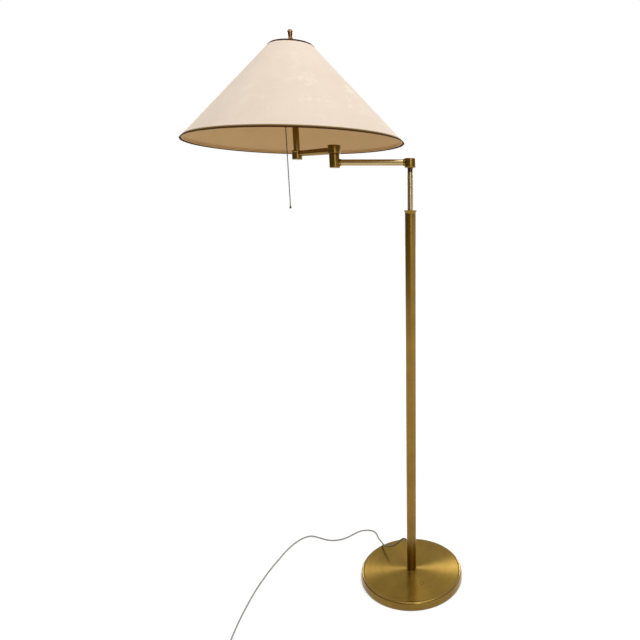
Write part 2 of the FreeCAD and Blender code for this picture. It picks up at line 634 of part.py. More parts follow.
saddle = padded("harp_saddle", "XY_Plane", strip, "saddle_thickness")
doc.recompute()
corner_edges = [
    "Edge%d" % (number + 1)
    for number, edge in enumerate(saddle.Shape.Edges)
    if len(edge.Vertexes) == 2 and abs(edge.Vertexes[0].Z - edge.Vertexes[1].Z) > 0.1
    and abs(edge.Vertexes[0].X) > value("saddle_half_length") - 0.1
]
flat_strip = saddle.Tip
rounded = saddle.newObject("PartDesign::Fillet", "saddle_corners")
rounded.Base = (flat_strip, corner_edges)
rounded.setExpression("Radius", sized("saddle_width / 2 - 0.1"))
saddle.Tip = rounded
for side in (1, -1):
    post = saddle.newObject("PartDesign::AdditiveCylinder", "saddle_post")
    post.setExpression("Radius", sized("harp_wire_radius"))
    post.setExpression("Height", sized("harp_post_height"))
    place(post, "%d * harp_foot_radius" % side, "0", "saddle_thickness")
    saddle.Tip = post
place(saddle, STEM_X, STEM_Y, STEM_TOP, "harp_heading")

BOWL_RISE = "(cap_height - 5)"
BOWL_RUN = "(socket_radius - cap_floor_radius)"
socket_cap = turned("socket_cap", [
    ("pipe_radius + thread_gap", "0"),
    ("cap_floor_radius", "0", BOWL_RISE + " + 0.5", 1),
    ("socket_radius", BOWL_RISE),
    ("socket_radius", "cap_height"),
    ("socket_radius - socket_wall", "cap_height"),
    ("socket_radius - socket_wall", BOWL_RISE, BOWL_RISE + " + 0.5 - socket_wall", -1),
    ("cap_floor_radius", "washer_thickness"),
    ("pipe_radius + thread_gap", "washer_thickness"),
])
place(socket_cap, STEM_X, STEM_Y, SADDLE_TOP)
place(nut("socket_nut"), STEM_X, STEM_Y, SADDLE_TOP + " + washer_thickness")

shell = turned("socket_shell", [
    ("socket_radius - socket_wall", "0"),
    ("socket_radius", "0"),
    ("socket_radius", "socket_height - 3 * socket_bead"),
    ("socket_radius + socket_bead", "socket_height - 2 * socket_bead"),
    ("socket_radius + socket_bead", "socket_height - socket_bead"),
    ("socket_radius", "socket_height"),
    ("socket_radius - socket_wall", "socket_height"),
])
place(shell, STEM_X, STEM_Y, SHELL_FOOT)
LINER_OUTSIDE = "(socket_radius - socket_wall - fit_gap)"
liner = ring("socket_liner", LINER_OUTSIDE + " - liner_wall", LINER_OUTSIDE, "socket_height + liner_rise")
place(liner, STEM_X, STEM_Y, SHELL_FOOT)
core = turned("socket_core", [
    ("0", "0"),
    (LINER_OUTSIDE + " - liner_wall - fit_gap", "0"),
    (LINER_OUTSIDE + " - liner_wall - fit_gap", "core_height"),
    ("0", "core_height"),
])
place(core, STEM_X, STEM_Y, SHELL_FOOT)
screw_shell = ring("screw_shell", "screw_shell_radius - socket_wall", "screw_shell_radius",
                   "screw_shell_height")
place(screw_shell, STEM_X, STEM_Y, CORE_TOP)

bulb_cap = turned("bulb_cap", [
    ("0", "0"),
    ("bulb_cap_radius / 3", "0"),
    ("bulb_cap_radius * 2 / 3", "bulb_cap_height / 6"),
    ("bulb_cap_radius - fit_gap", "bulb_cap_height / 4"),
    ("bulb_cap_radius - fit_gap", "bulb_cap_height"),
    ("0", "bulb_cap_height"),
])
place(bulb_cap, STEM_X, STEM_Y, CORE_TOP)

# glass: a neck that swells into a ball; 0.8 and 0.6 are the sine and cosine where the two curves meet
BALL = "(bulb_height - bulb_radius)"
INNER = "(bulb_radius - glass_wall)"
bulb = turned("bulb_glass", [
    ("bulb_cap_radius - glass_wall", "0"),
    ("bulb_cap_radius", "0"),
    ("bulb_cap_radius + 0.4", "bulb_height / 8", "1.3 * bulb_radius", -1),
    ("0.8 * bulb_radius", BALL + " - 0.6 * bulb_radius", "bulb_radius", 1),
    ("bulb_radius", BALL, "bulb_radius", 1),
    ("0", "bulb_height"),
    ("0", "bulb_height - glass_wall", INNER, -1),
    (INNER, BALL, INNER, -1),
    ("0.8 * " + INNER, BALL + " - 0.6 * " + INNER, "1.3 * bulb_radius + glass_wall", 1),
    ("bulb_cap_radius + 0.4 - glass_wall", "bulb_height / 8"),
])
place(bulb, STEM_X, STEM_Y, GLASS_FOOT)


# ---------------------------------------------------------------- paths of wire and cord
def bent(start, corner, end):
    """The arc that leaves start towards corner and reaches end; both legs have one length."""
    weight = (end - start).Length / 2 / (corner - start).Length
    middle = (start + corner * 2 * weight + end) / (2 + 2 * weight)
    return Part.Arc(start, middle, end)


def bend_radius(before, corner, after):
    """The radius a corner of a path gets, and the length of path that its arc takes on each leg."""
    shorter = min((corner - before).Length, (after - corner).Length)
    half_turn = (corner - before).getAngle(after - corner) / 2
    return 0.45 * shorter / math.tan(half_turn), 0.45 * shorter


def path(points):
    """Straight runs joined by tangent arcs, and the radii of the arcs."""
    edges = []
    radii = []
    here = points[0]
    for before, corner, after in zip(points, points[1:], points[2:]):
        radius, leg = bend_radius(before, corner, after)
        start = corner + (before - corner).normalize() * leg
        end = corner + (after - corner).normalize() * leg
        edges.append(Part.LineSegment(here, start).toShape())
        edges.append(bent(start, corner, end).toShape())
        radii.append(radius)
        here = end
    edges.append(Part.LineSegment(here, points[-1]).toShape())
    return edges, radii


def tube(label, edges, radius):
    """A round rod swept along a path, checked against its section times its length."""
    wire = Part.Wire(edges)
    start = edges[0].valueAt(edges[0].FirstParameter)
    heading = edges[0].tangentAt(edges[0].FirstParameter)
    section = Part.Wire([Part.Circle(start, heading, radius).toShape()])
    shape = wire.makePipeShell([section], True, False)
    share = shape.Volume / (math.pi * radius ** 2 * wire.Length)
    print("%s: length %.1f, volume over section times length %.4f" % (label, wire.Length, share))
    piece = doc.addObject("Part::Feature", label)
    piece.Label = label
    piece.Shape = shape
    PIECES.append(piece)
    return piece


# ---------------------------------------------------------------- harp
foot = value("harp_foot_radius")
wide = value("harp_half_width")
top_of_wire = value("harp_height - harp_seat_thickness - harp_wire_radius - fit_gap")
half_harp = [
    (foot, value("harp_post_height")),
    (foot, value("2.2 * harp_post_height")),
    (wide, 0.32 * top_of_wire),
    (wide, 0.54 * top_of_wire),
    (0.64 * wide, 0.83 * top_of_wire),
    (0.16 * wide, top_of_wire),
]
harp_points = [FreeCAD.Vector(x, 0, z) for x, z in half_harp]
harp_points += [FreeCAD.Vector(-x, 0, z) for x, z in reversed(half_harp)]
harp_edges, harp_radii = path(harp_points)
harp = tube("harp", harp_edges, value("harp_wire_radius"))
harp.Placement = FreeCAD.Placement(
    FreeCAD.Vector(value(STEM_X), value(STEM_Y), value(SADDLE_TOP)),
    FreeCAD.Rotation(UP, value("harp_heading")),
)

sleeves = []
for side in (1, -1):
    outer = doc.addObject("Part::Cylinder", "sleeve_outside")
    outer.setExpression("Radius", sized("sleeve_radius"))
    outer.setExpression("Height", sized("sleeve_height"))
    inner = doc.addObject("Part::Cylinder", "sleeve_bore")
    inner.setExpression("Radius", sized("harp_wire_radius + sleeve_gap"))
    inner.setExpression("Height", sized("sleeve_height"))
    sleeve = doc.addObject("Part::Cut", "sleeve")
    sleeve.Base = outer
    sleeve.Tool = inner
    place(sleeve, "%d * harp_foot_radius" % side)
    sleeves.append(sleeve)
harp_sleeves = doc.addObject("Part::Compound", "harp_sleeves")
harp_sleeves.Label = "harp_sleeves"
harp_sleeves.Links = sleeves
PIECES.append(harp_sleeves)
place(harp_sleeves, STEM_X, STEM_Y, SADDLE_TOP, "harp_heading")

harp_stud = turned("harp_stud", [
    ("0", "0"),
    ("harp_seat_radius", "0"),
    ("harp_seat_radius", "harp_seat_thickness"),
    ("harp_stud_radius", "harp_seat_thickness"),
    ("harp_stud_radius", "harp_seat_thickness + harp_stud_height"),
    ("0", "harp_seat_thickness + harp_stud_height"),
])
place(harp_stud, STEM_X, STEM_Y, SPIDER_SEAT + " - harp_seat_thickness")

# ---------------------------------------------------------------- pull switch
MOUTH_X = "(" + STEM_X + " + chain_offset * cos(chain_heading))"
MOUTH_Y = "(" + STEM_Y + " + chain_offset * sin(chain_heading))"
mouth = turned("switch_mouth", [
    ("bell_bore", "0"),
    ("bell_radius", "0"),
    ("mouth_radius", "bell_drop / 2"),
    ("mouth_radius", "bell_drop", "mouth_radius", 1),
    ("0", "bell_drop + mouth_radius"),
    ("0", "bell_drop"),
    ("bell_bore", "bell_drop"),
])
switch_arm = mouth.newObject("PartDesign::AdditiveCylinder", "switch_arm")
switch_arm.Placement = FreeCAD.Placement(FreeCAD.Vector(), ALONG_X)
switch_arm.setExpression("Radius", sized("mouth_radius - fit_gap"))
switch_arm.setExpression("Height", sized("chain_offset - socket_radius - fit_gap - bell_bore - fit_gap"))
place(switch_arm, "bell_bore + fit_gap", "0", "bell_drop")
mouth.Tip = switch_arm
place(mouth, MOUTH_X, MOUTH_Y, SHELL_FOOT + " + mouth_rise - bell_drop", "chain_heading + 180")

chain = body_called("pull_chain")
bead_sketch = sketch_on(chain, "XZ_Plane", "bead_outline")
outline(bead_sketch, [
    ("0", "0"),
    ("bead_radius / 2", "0"),
    ("bead_radius", "bead_radius / 2"),
    ("bead_radius", "1.5 * bead_radius"),
    ("bead_radius / 2", "2 * bead_radius"),
    ("link_radius", "2 * bead_radius"),
    ("link_radius", "bead_pitch"),
    ("0", "bead_pitch"),
])
bead = chain.newObject("PartDesign::Revolution", "bead")
bead.Profile = bead_sketch
bead.ReferenceAxis = (bead_sketch, ["V_Axis"])
bead.Angle = 360
chain.Tip = bead
doc.recompute()
beads = chain.newObject("PartDesign::LinearPattern", "beads")
beads.Originals = [bead]
beads.Direction = (bead_sketch, ["V_Axis"])
beads.setExpression("Length", sized("bead_pitch * (bead_count - 1)"))
beads.setExpression("Occurrences", sized("bead_count"))
chain.Tip = beads
place(chain, MOUTH_X, MOUTH_Y, CHAIN_FOOT)

ball = turned("chain_ball", [
    ("0", "0", "ball_radius", 1),
    ("ball_radius", "ball_radius", "ball_radius", 1),
    ("0.8 * bead_radius", "ball_radius + sqrt(ball_radius ^ 2 - (0.8 * bead_radius) ^ 2)"),
    ("0.8 * bead_radius", "2 * ball_radius + bead_radius / 2"),
    ("0", "2 * ball_radius + bead_radius / 2"),
])
place(ball, MOUTH_X, MOUTH_Y, CHAIN_FOOT + " - 2 * ball_radius - bead_radius / 2")

# ---------------------------------------------------------------- shade
SLOPE = "((shade_bottom_radius - shade_top_radius) / shade_height)"
shade = turned("shade", [
    ("shade_bottom_radius - shade_wall", "0"),
    ("shade_bottom_radius", "0"),
    ("shade_top_radius", "shade_height"),
    ("shade_top_radius - shade_wall", "shade_height"),
])
place(shade, STEM_X, STEM_Y, SHADE_FOOT)

EDGE = "(trim_gap + trim_thickness)"
foot_trim = turned("shade_foot_trim", [
    ("shade_bottom_radius - shade_wall - " + EDGE, "0"),
    ("shade_bottom_radius + " + EDGE, "0"),
    ("shade_bottom_radius + " + EDGE, EDGE),
    ("shade_bottom_radius + " + EDGE + " - " + SLOPE + " * (trim_height - " + EDGE + ")", "trim_height"),
    ("shade_bottom_radius + trim_gap - " + SLOPE + " * (trim_height - " + EDGE + ")", "trim_height"),
    ("shade_bottom_radius + trim_gap", EDGE),
    ("shade_bottom_radius + trim_gap", "trim_thickness"),
    ("shade_bottom_radius - shade_wall - trim_gap", "trim_thickness"),
    ("shade_bottom_radius - shade_wall - trim_gap", EDGE),
    ("shade_bottom_radius - shade_wall - trim_gap - " + SLOPE + " * (trim_height - " + EDGE + ")", "trim_height"),
    ("shade_bottom_radius - shade_wall - " + EDGE + " - " + SLOPE + " * (trim_height - " + EDGE + ")", "trim_height"),
    ("shade_bottom_radius - shade_wall - " + EDGE, EDGE),
])
place(foot_trim, STEM_X, STEM_Y, SHADE_FOOT + " - " + EDGE)
DROP = "(top_trim_height - " + EDGE + ")"
top_trim = turned("shade_top_trim", [
    ("shade_top_radius + trim_gap + " + SLOPE + " * " + DROP, "0"),
    ("shade_top_radius + " + EDGE + " + " + SLOPE + " * " + DROP, "0"),
    ("shade_top_radius + " + EDGE, DROP),
    ("shade_top_radius + " + EDGE, "top_trim_height"),
    ("shade_top_radius - shade_wall - " + EDGE, "top_trim_height"),
    ("shade_top_radius - shade_wall - " + EDGE, DROP),
    ("shade_top_radius - shade_wall - " + EDGE + " + " + SLOPE + " * " + DROP, "0"),
    ("shade_top_radius - shade_wall - trim_gap + " + SLOPE + " * " + DROP, "0"),
    ("shade_top_radius - shade_wall - trim_gap", DROP),
    ("shade_top_radius - shade_wall - trim_gap", "top_trim_height - trim_thickness"),
    ("shade_top_radius + trim_gap", "top_trim_height - trim_thickness"),
    ("shade_top_radius + trim_gap", DROP),
])
place(top_trim, STEM_X, STEM_Y, SHADE_FOOT + " + shade_height + " + EDGE + " - top_trim_height")

# a wire ring leans on the shade's inner side: its middle is a wire's radius off that slope
LEAN = "((ring_wire_radius + 2 * trim_gap) * sqrt(1 + " + SLOPE + " ^ 2))"
foot_ring = doc.addObject("Part::Torus", "shade_foot_ring")
foot_ring.Label = "shade_foot_ring"
FOOT_RING = "(shade_bottom_radius - shade_wall - " + EDGE + " - " + SLOPE + " * ring_rise - " + LEAN + ")"
foot_ring.setExpression("Radius1", sized(FOOT_RING))
foot_ring.setExpression("Radius2", sized("ring_wire_radius"))
PIECES.append(foot_ring)
place(foot_ring, STEM_X, STEM_Y, SHADE_FOOT + " + ring_rise")

TOP_RING = "(shade_top_radius - shade_wall + " + SLOPE + " * top_ring_drop - " + LEAN + ")"
RING_RISE = "(spider_drop - top_ring_drop - spider_hub_thickness / 2)"
spider = ring("shade_spider", "harp_stud_radius + thread_gap", "spider_hub_radius", "spider_hub_thickness")
top_ring = spider.newObject("PartDesign::AdditiveTorus", "top_ring")
top_ring.setExpression("Radius1", sized(TOP_RING))
top_ring.setExpression("Radius2", sized("ring_wire_radius"))
place(top_ring, z="spider_hub_thickness / 2 + " + RING_RISE)
spider.Tip = top_ring
reach = value(TOP_RING + " - spider_hub_radius + 3 * ring_wire_radius")
climb = value(RING_RISE)
spider_arm = spider.newObject("PartDesign::AdditiveCylinder", "spider_arm")
spider_arm.Placement = FreeCAD.Placement(
    FreeCAD.Vector(value("spider_hub_radius - 3 * ring_wire_radius"), 0, value("spider_hub_thickness / 2")),
    FreeCAD.Rotation(UP, FreeCAD.Vector(reach, 0, climb)),
)
spider_arm.Radius = value("ring_wire_radius * 0.9")
spider_arm.Height = math.hypot(reach, climb)
spider.Tip = spider_arm
doc.recompute()
arms = spider.newObject("PartDesign::PolarPattern", "spider_arms_round")
arms.Originals = [spider_arm]
arms.Axis = (next(item for item in spider.Origin.OriginFeatures if item.Role == "Z_Axis"), [""])
arms.Angle = 360
arms.setExpression("Occurrences", sized("spider_arms"))
spider.Tip = arms
place(spider, STEM_X, STEM_Y, SPIDER_SEAT)

finial = turned("finial", [
    ("harp_stud_radius + thread_gap", "0"),
    ("finial_foot_radius", "0"),
    ("finial_foot_radius", "2.4"),
    ("finial_waist - 0.5", "4.6"),
    ("finial_waist - 0.5", "0.55 * finial_waist_height"),
    ("finial_waist + 1.2", "0.7 * finial_waist_height"),
    ("finial_waist + 1.2", "0.78 * finial_waist_height"),
    ("finial_waist", "finial_waist_height"),
    ("finial_radius", "finial_height - finial_radius", "finial_radius", 1),
    ("0", "finial_height"),
    ("0", "harp_stud_height - spider_hub_thickness + 0.5"),
    ("harp_stud_radius + thread_gap", "harp_stud_height - spider_hub_thickness + 0.5"),
])
place(finial, STEM_X, STEM_Y, SPIDER_SEAT + " + spider_hub_thickness")

# ---------------------------------------------------------------- cord, coil and plug
cone = doc.addObject("Part::Cone", "bushing_taper")
cone.setExpression("Radius1", sized("bushing_radius"))
cone.setExpression("Radius2", sized("cord_diameter / 2 + 0.6"))
cone.setExpression("Height", sized("bushing_reach + pole_wall"))
cone.Placement = FreeCAD.Placement(FreeCAD.Vector(), ALONG_X)
place(cone, "pole_radius - pole_wall")
round_pole = doc.addObject("Part::Cylinder", "bushing_seat")
round_pole.setExpression("Radius", sized("pole_radius + fit_gap"))
round_pole.setExpression("Height", sized("4 * bushing_radius"))
place(round_pole, z="-2 * bushing_radius")
snout = doc.addObject("Part::Cut", "bushing_snout")
snout.Base = cone
snout.Tool = round_pole
shank = doc.addObject("Part::Cylinder", "bushing_shank")
shank.setExpression("Radius", sized("exit_hole_radius - fit_gap"))
shank.setExpression("Height", sized("bushing_shank + pole_wall"))
shank.Placement = FreeCAD.Placement(FreeCAD.Vector(), ALONG_X)
place(shank, "pole_radius - bushing_shank")
bushing = doc.addObject("Part::Fuse", "cord_bushing")
bushing.Base = snout
bushing.Tool = shank
bushing.Label = "cord_bushing"
PIECES.append(bushing)
place(bushing, z="exit_height", turn="exit_heading")

# the cord leaves the bushing, sinks over the base's edge and wanders along the floor
EXIT_REACH = value("pole_radius + bushing_reach")
EXIT_TURN = math.radians(value("exit_heading"))
FLOOR = value("cord_diameter / 2")
CORD_POINTS = [
    (EXIT_REACH * math.cos(EXIT_TURN), EXIT_REACH * math.sin(EXIT_TURN), value("exit_height")),
    (-16.4, 23.5, 99.5),
    (-21, 28.9, 97),
    (-26, 33.8, 91),
    (-32.2, 38.4, 80.5),
    (-40.5, 44.5, 68.5),
    (-51, 54.5, 56.2),
    (-64, 70.5, 44.2),
    (-75.5, 91.5, 32.6),
    (-81.5, 115.5, 27.3),
    (-87, 142.5, 16.5),
    (-91.5, 167.5, 6.2),
    (-95.5, 188.5, FLOOR),
    (-101, 206.5, FLOOR),
    (-114.5, 217, FLOOR),
    (-133, 219.5, FLOOR),
    (-152, 215, FLOOR),
    (-170, 200, FLOOR),
    (-192, 181, FLOOR),
    (-219, 171, FLOOR),
    (-247, 174, FLOOR),
    (-274, 189, FLOOR),
    (-301, 203, FLOOR),
    (-327, 191, FLOOR),
    (-349, 163, FLOOR),
    (-367, 130, FLOOR),
    (-381, 91, FLOOR),
    (-396, 51, FLOOR),
    (-408, 10, FLOOR),
    (-420, -36, FLOOR),
    (-428, -84, FLOOR),
    (-435, -132, FLOOR),
    (-439, -178, FLOOR),
    (-441, -224, FLOOR),
    (value("coil_x - coil_outer_radius"), value("coil_y + cord_diameter"), FLOOR),
]
cord_edges, cord_radii = path([FreeCAD.Vector(*point) for point in CORD_POINTS])
tube("cord", cord_edges, value("cord_diameter / 2"))
print("cord radii", [round(radius, 1) for radius in cord_radii])

COIL_PITCH = value("coil_pitch")
COIL_INNER = value("coil_outer_radius - coil_pitch * coil_turns_in")
TURNS_IN = value("coil_turns_in")
TURNS = value("coil_turns_in + coil_turns_out")


def on_coil(turn):
    """A point of the coil's middle line and its heading, that many turns from the coil's start.

    The radius grows by one pitch for each turn away from the innermost one. The line climbs one
    layer in the half turn where the spiral reverses.
    """
    away = turn - TURNS_IN
    angle = math.pi * (1 + 2 * turn)
    radius = COIL_INNER + COIL_PITCH * abs(away)
    climb = min(max(away + 0.25, 0) * 2, 1)
    point = FreeCAD.Vector(
        value("coil_x") + radius * math.cos(angle),
        value("coil_y") + radius * math.sin(angle),
        FLOOR + COIL_PITCH * climb,
    )
    inward = 0 if turn in (0, TURNS_IN, TURNS) else math.copysign(COIL_PITCH, away)
    rising = 3 * COIL_PITCH if turn == TURNS_IN else 0
    round_about = 2 * math.pi * radius
    heading = FreeCAD.Vector(
        inward * math.cos(angle) - round_about * math.sin(angle),
        inward * math.sin(angle) + round_about * math.cos(angle),
        rising,
    )
    return point, heading.normalize()


def two_arcs(start, start_heading, end, end_heading):
    """A pair of arcs with one tangent where they meet, from one point and heading to the next."""
    across = end - start
    both = start_heading + end_heading
    part = 2 * (1 - start_heading.dot(end_heading))
    along = across.dot(both)
    leg = (math.sqrt(along ** 2 + part * across.dot(across)) - along) / part
    first = start + start_heading * leg
    second = end - end_heading * leg
    middle = (first + second) / 2
    return [bent(start, first, middle).toShape(), bent(middle, second, end).toShape()]


coil_edges = []
quarters = [number / 4 for number in range(round(4 * TURNS) + 1)]
for turn, following in zip(quarters, quarters[1:]):
    coil_edges += two_arcs(*on_coil(turn), *on_coil(following))
coil_start, start_heading = on_coil(0)
coil_end, end_heading = on_coil(TURNS)
straight = value("cord_diameter")
head = Part.LineSegment(coil_start - start_heading * straight, coil_start).toShape()
tail = Part.LineSegment(coil_end, coil_end + end_heading * straight).toShape()
tube("cord_coil", [head] + coil_edges + [tail], value("cord_diameter / 2"))

coil_line = []
for edge in coil_edges:
    steps = max(2, int(edge.Length / 1.5))
    coil_line += edge.discretize(steps)[:-1]
gap = min(
    (coil_line[i] - coil_line[j]).Length
    for i in range(len(coil_line))
    for j in range(i + 30, len(coil_line))
) - value("cord_diameter")
print("coil: least gap to itself %.2f" % gap)


def plug_front(sketch):
    """The plug's section, upright on its width."""
    outline(sketch, [
        ("-plug_width / 2", "-plug_thickness / 2"),
        ("plug_width / 2", "-plug_thickness / 2"),
        ("plug_width / 2", "plug_thickness / 2"),
        ("-plug_width / 2", "plug_thickness / 2"),
    ])


PLUG_Z = "(cord_diameter / 2 + coil_pitch)"
COIL_END = "(coil_outer_radius + coil_pitch * (coil_turns_out - coil_turns_in))"
plug = padded("plug_body", "YZ_Plane", plug_front, "plug_length")
doc.recompute()
long_edges = [
    "Edge%d" % (number + 1)
    for number, edge in enumerate(plug.Shape.Edges)
    if abs(edge.Vertexes[0].X - edge.Vertexes[1].X) > 0.1
]
block = plug.Tip
soft = plug.newObject("PartDesign::Fillet", "plug_edges")
soft.Base = (block, long_edges)
soft.setExpression("Radius", sized("plug_round"))
plug.Tip = soft
add_taper(plug, "plug_neck", "cord_diameter / 2 + 0.4", "plug_thickness / 2 - 1", "plug_neck_length",
          x="-plug_neck_length")
place(plug, "coil_x + cord_diameter + plug_neck_length", "coil_y - " + COIL_END, PLUG_Z)

blades = []
for side in (1, -1):
    blade = doc.addObject("Part::Box", "blade")
    blade.setExpression("Length", sized("blade_length"))
    blade.setExpression("Width", sized("blade_thickness"))
    blade.setExpression("Height", sized("blade_width"))
    place(blade, y="%d * blade_spacing / 2 - blade_thickness / 2" % side, z="-blade_width / 2")
    blades.append(blade)
plug_blades = doc.addObject("Part::Compound", "plug_blades")
plug_blades.Label = "plug_blades"
plug_blades.Links = blades
PIECES.append(plug_blades)
place(plug_blades, "coil_x + cord_diameter + plug_neck_length + plug_length", "coil_y - " + COIL_END, PLUG_Z)

# ---------------------------------------------------------------- check and write
doc.recompute()
failed = [item.Name for item in doc.Objects if {"Invalid", "Error"} & set(item.State)]
for piece in PIECES:
    if piece.Shape.isNull() or not piece.Shape.isValid():
        failed.append(piece.Label)
if failed:
    raise RuntimeError("these didn't come out: " + ", ".join(failed))

os.makedirs("parts", exist_ok=True)
for piece in PIECES:
    piece.Shape.exportStep("parts/%s.step" % piece.Label)
print(len(PIECES), "pieces")
print("stem axis %.2f %.2f, elbow %.2f %.2f" % (value(STEM_X), value(STEM_Y), value(ELBOW_X), value(ELBOW_Y)))
print("levels: arm 1 %.1f, arm 2 %.1f, shade foot %.1f, spider %.1f, chain foot %.1f" % tuple(
    value(text) for text in (ARM_1_LEVEL, ARM_2_LEVEL, SHADE_FOOT, SPIDER_SEAT, CHAIN_FOOT)))
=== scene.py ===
# %% [markdown]
# # A bridge floor lamp
#
# The lamp is a heavy brushed brass base, a brass pole with a thinner rod that slides in it, a level arm
# with an elbow, and a wide paper shade on a harp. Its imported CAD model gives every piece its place, in
# metres with +Z up. These cells dress it: they keep the CAD pieces whose shape is right, make finer
# surfaces where the eye lands, and give each piece a finish.

import json
import math

import bmesh
import bpy
import numpy as np
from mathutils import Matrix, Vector


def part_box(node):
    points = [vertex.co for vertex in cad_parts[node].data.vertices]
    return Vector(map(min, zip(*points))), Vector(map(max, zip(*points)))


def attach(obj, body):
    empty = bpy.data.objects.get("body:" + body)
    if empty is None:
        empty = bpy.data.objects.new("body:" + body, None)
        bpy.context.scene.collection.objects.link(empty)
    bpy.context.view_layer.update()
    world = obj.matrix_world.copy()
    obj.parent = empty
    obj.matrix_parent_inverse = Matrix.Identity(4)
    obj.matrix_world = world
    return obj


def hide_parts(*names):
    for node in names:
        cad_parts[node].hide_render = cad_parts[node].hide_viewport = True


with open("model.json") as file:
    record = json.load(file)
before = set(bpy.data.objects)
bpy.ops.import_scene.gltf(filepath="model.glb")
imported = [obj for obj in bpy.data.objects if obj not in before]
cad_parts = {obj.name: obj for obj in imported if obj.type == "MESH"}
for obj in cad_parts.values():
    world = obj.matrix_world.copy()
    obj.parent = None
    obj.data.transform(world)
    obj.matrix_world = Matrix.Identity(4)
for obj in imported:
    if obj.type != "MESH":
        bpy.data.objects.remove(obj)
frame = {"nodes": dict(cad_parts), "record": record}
nodes = frame["nodes"]
bpy.context.scene.view_settings.view_transform = "Standard"
slot_of = {entry["node"]: entry["material_slot"] for entry in frame["record"]["subparts"]}
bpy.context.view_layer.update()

# %% [markdown]
# ## The camera
#
# The photograph was taken from about a metre up with a short lens, and cropped off its middle. The crop
# is a lens shift here, so that upright lines lean as they do in the photograph. The place and the
# angles come from fitting the pole, the base and the two rims of the shade.

# %% Camera
CAMERA_PLACE = (-0.07487, -1.25465, 0.98047)
LOOK_DOWN = 0.26716
LOOK_RIGHT = 0.07322
FOCAL_PIXELS = 526.745
AXIS_PIXEL = (417.71, 354.70)
FRAME_PIXELS = 640

lens = bpy.data.cameras.new("photo_camera")
lens.sensor_width = 36.0
lens.lens = FOCAL_PIXELS * lens.sensor_width / FRAME_PIXELS
lens.shift_x = (FRAME_PIXELS / 2 - AXIS_PIXEL[0]) / FRAME_PIXELS
lens.shift_y = (AXIS_PIXEL[1] - FRAME_PIXELS / 2) / FRAME_PIXELS
lens.clip_start, lens.clip_end = 0.01, 50.0
camera = bpy.data.objects.new("photo_camera", lens)
camera.location = CAMERA_PLACE
camera.rotation_euler = (math.pi / 2 - LOOK_DOWN, 0.0, -LOOK_RIGHT)
bpy.context.collection.objects.link(camera)
bpy.context.scene.camera = camera
print("lens %.2f mm, shift %.3f %.3f" % (lens.lens, lens.shift_x, lens.shift_y))


# %% [markdown]
# ## Colours and nodes
#
# Colours are read off as the 0 to 255 numbers that a screen shows. Shaders want linear light, so
# one small function turns them round. Another one adds a node and fills in its sockets by name, which
# keeps each material short enough to read.

# %% Helpers for colours and nodes
def paint(red, green, blue):
    """The linear colour of a screen colour, by the usual sRGB curve, with full alpha."""
    levels = np.array([red, green, blue]) / 255
    linear = np.where(levels <= 0.04045, levels / 12.92, ((levels + 0.055) / 1.055) ** 2.4)
    return (*linear.tolist(), 1.0)


def fill(tree, node, sockets):
    """Fills or links a node's inputs: the key n3 is input 3, other keys are names with _ for a space."""
    for key, value in sockets.items():
        numbered = key[0] == "n" and key[1:].isdigit()
        socket = node.inputs[int(key[1:]) if numbered else key.replace("_", " ")]
        if isinstance(value, bpy.types.NodeSocket):
            tree.links.new(value, socket)
        else:
            socket.default_value = value


def add(tree, kind, settings=None, **sockets):
    """Adds a node, sets its properties, and fills or links its input sockets."""
    made = tree.nodes.new("ShaderNode" + kind)
    for name, value in (settings or {}).items():
        setattr(made, name, value)
    fill(tree, made, sockets)
    return made


def blank_material(name):
    """A material with one Principled shader, and that shader."""
    material = bpy.data.materials.new(name)
    material.use_nodes = True
    return material, material.node_tree, material.node_tree.nodes["Principled BSDF"]


def new_group(name, inputs, outputs):
    """A shader node group with named float inputs (with defaults) and named outputs."""
    group = bpy.data.node_groups.new(name, "ShaderNodeTree")
    for label, kind, default in inputs:
        socket = group.interface.new_socket(label, in_out="INPUT", socket_type="NodeSocket" + kind)
        if default is not None:
            socket.default_value = default
    for label, kind in outputs:
        group.interface.new_socket(label, in_out="OUTPUT", socket_type="NodeSocket" + kind)
    entry = group.nodes.new("NodeGroupInput")
    leave = group.nodes.new("NodeGroupOutput")
    return group, entry.outputs, leave.inputs


def use_group(tree, group, **sockets):
    """Places a node group in a material and fills its sockets by name."""
    made = tree.nodes.new("ShaderNodeGroup")
    made.node_tree = group
    fill(tree, made, sockets)
    return made


# %% [markdown]
# ## Floor, sky and lamps
#
# The photograph has a plain white surround. Near the lamp the floor is lit, so that it shows the lamp's
# shadow; further off it fades into a plain white that needs no light. The sky is white to the camera, to
# reflections and through glass, and dimmer as a light. Brass needs something dark to mirror as well, or
# it looks like painted card. A real room is dark behind the photographer, with one bright doorway, so two
# curved cards and a tall strip of light stand there. Two windows at the back, one on each side, put the
# pale fans on the brushed base. Only reflections see the cards, the strip and the windows.

# %% Floor
FLOOR_HALF = 14.0
FLOOR_GLOW = 0.42
LIT_TO, PLAIN_FROM = 0.7, 2.6
floor_mesh = bpy.data.meshes.new("studio_floor")
floor_corners = [(x * FLOOR_HALF, y * FLOOR_HALF, -0.0004) for x, y in ((-1, -1), (1, -1), (1, 1), (-1, 1))]
floor_mesh.from_pydata(floor_corners, [], [(0, 1, 2, 3)])
floor = bpy.data.objects.new("studio_floor", floor_mesh)
bpy.context.collection.objects.link(floor)
floor_white, tree, shader = blank_material("studio_floor_white")
shader.inputs["Roughness"].default_value = 1.0
shader.inputs["Specular IOR Level"].default_value = 0.0
where = add(tree, "TexCoord")
away = add(tree, "VectorMath", {"operation": "LENGTH"}, n0=where.outputs["Object"])
lit = add(
    tree, "MapRange", {"interpolation_type": "SMOOTHSTEP"}, n0=away.outputs["Value"], n1=LIT_TO,
    n2=PLAIN_FROM, n3=0.90, n4=0.5,
)
grey = add(tree, "CombineColor", n0=lit.outputs[0], n1=lit.outputs[0], n2=lit.outputs[0])
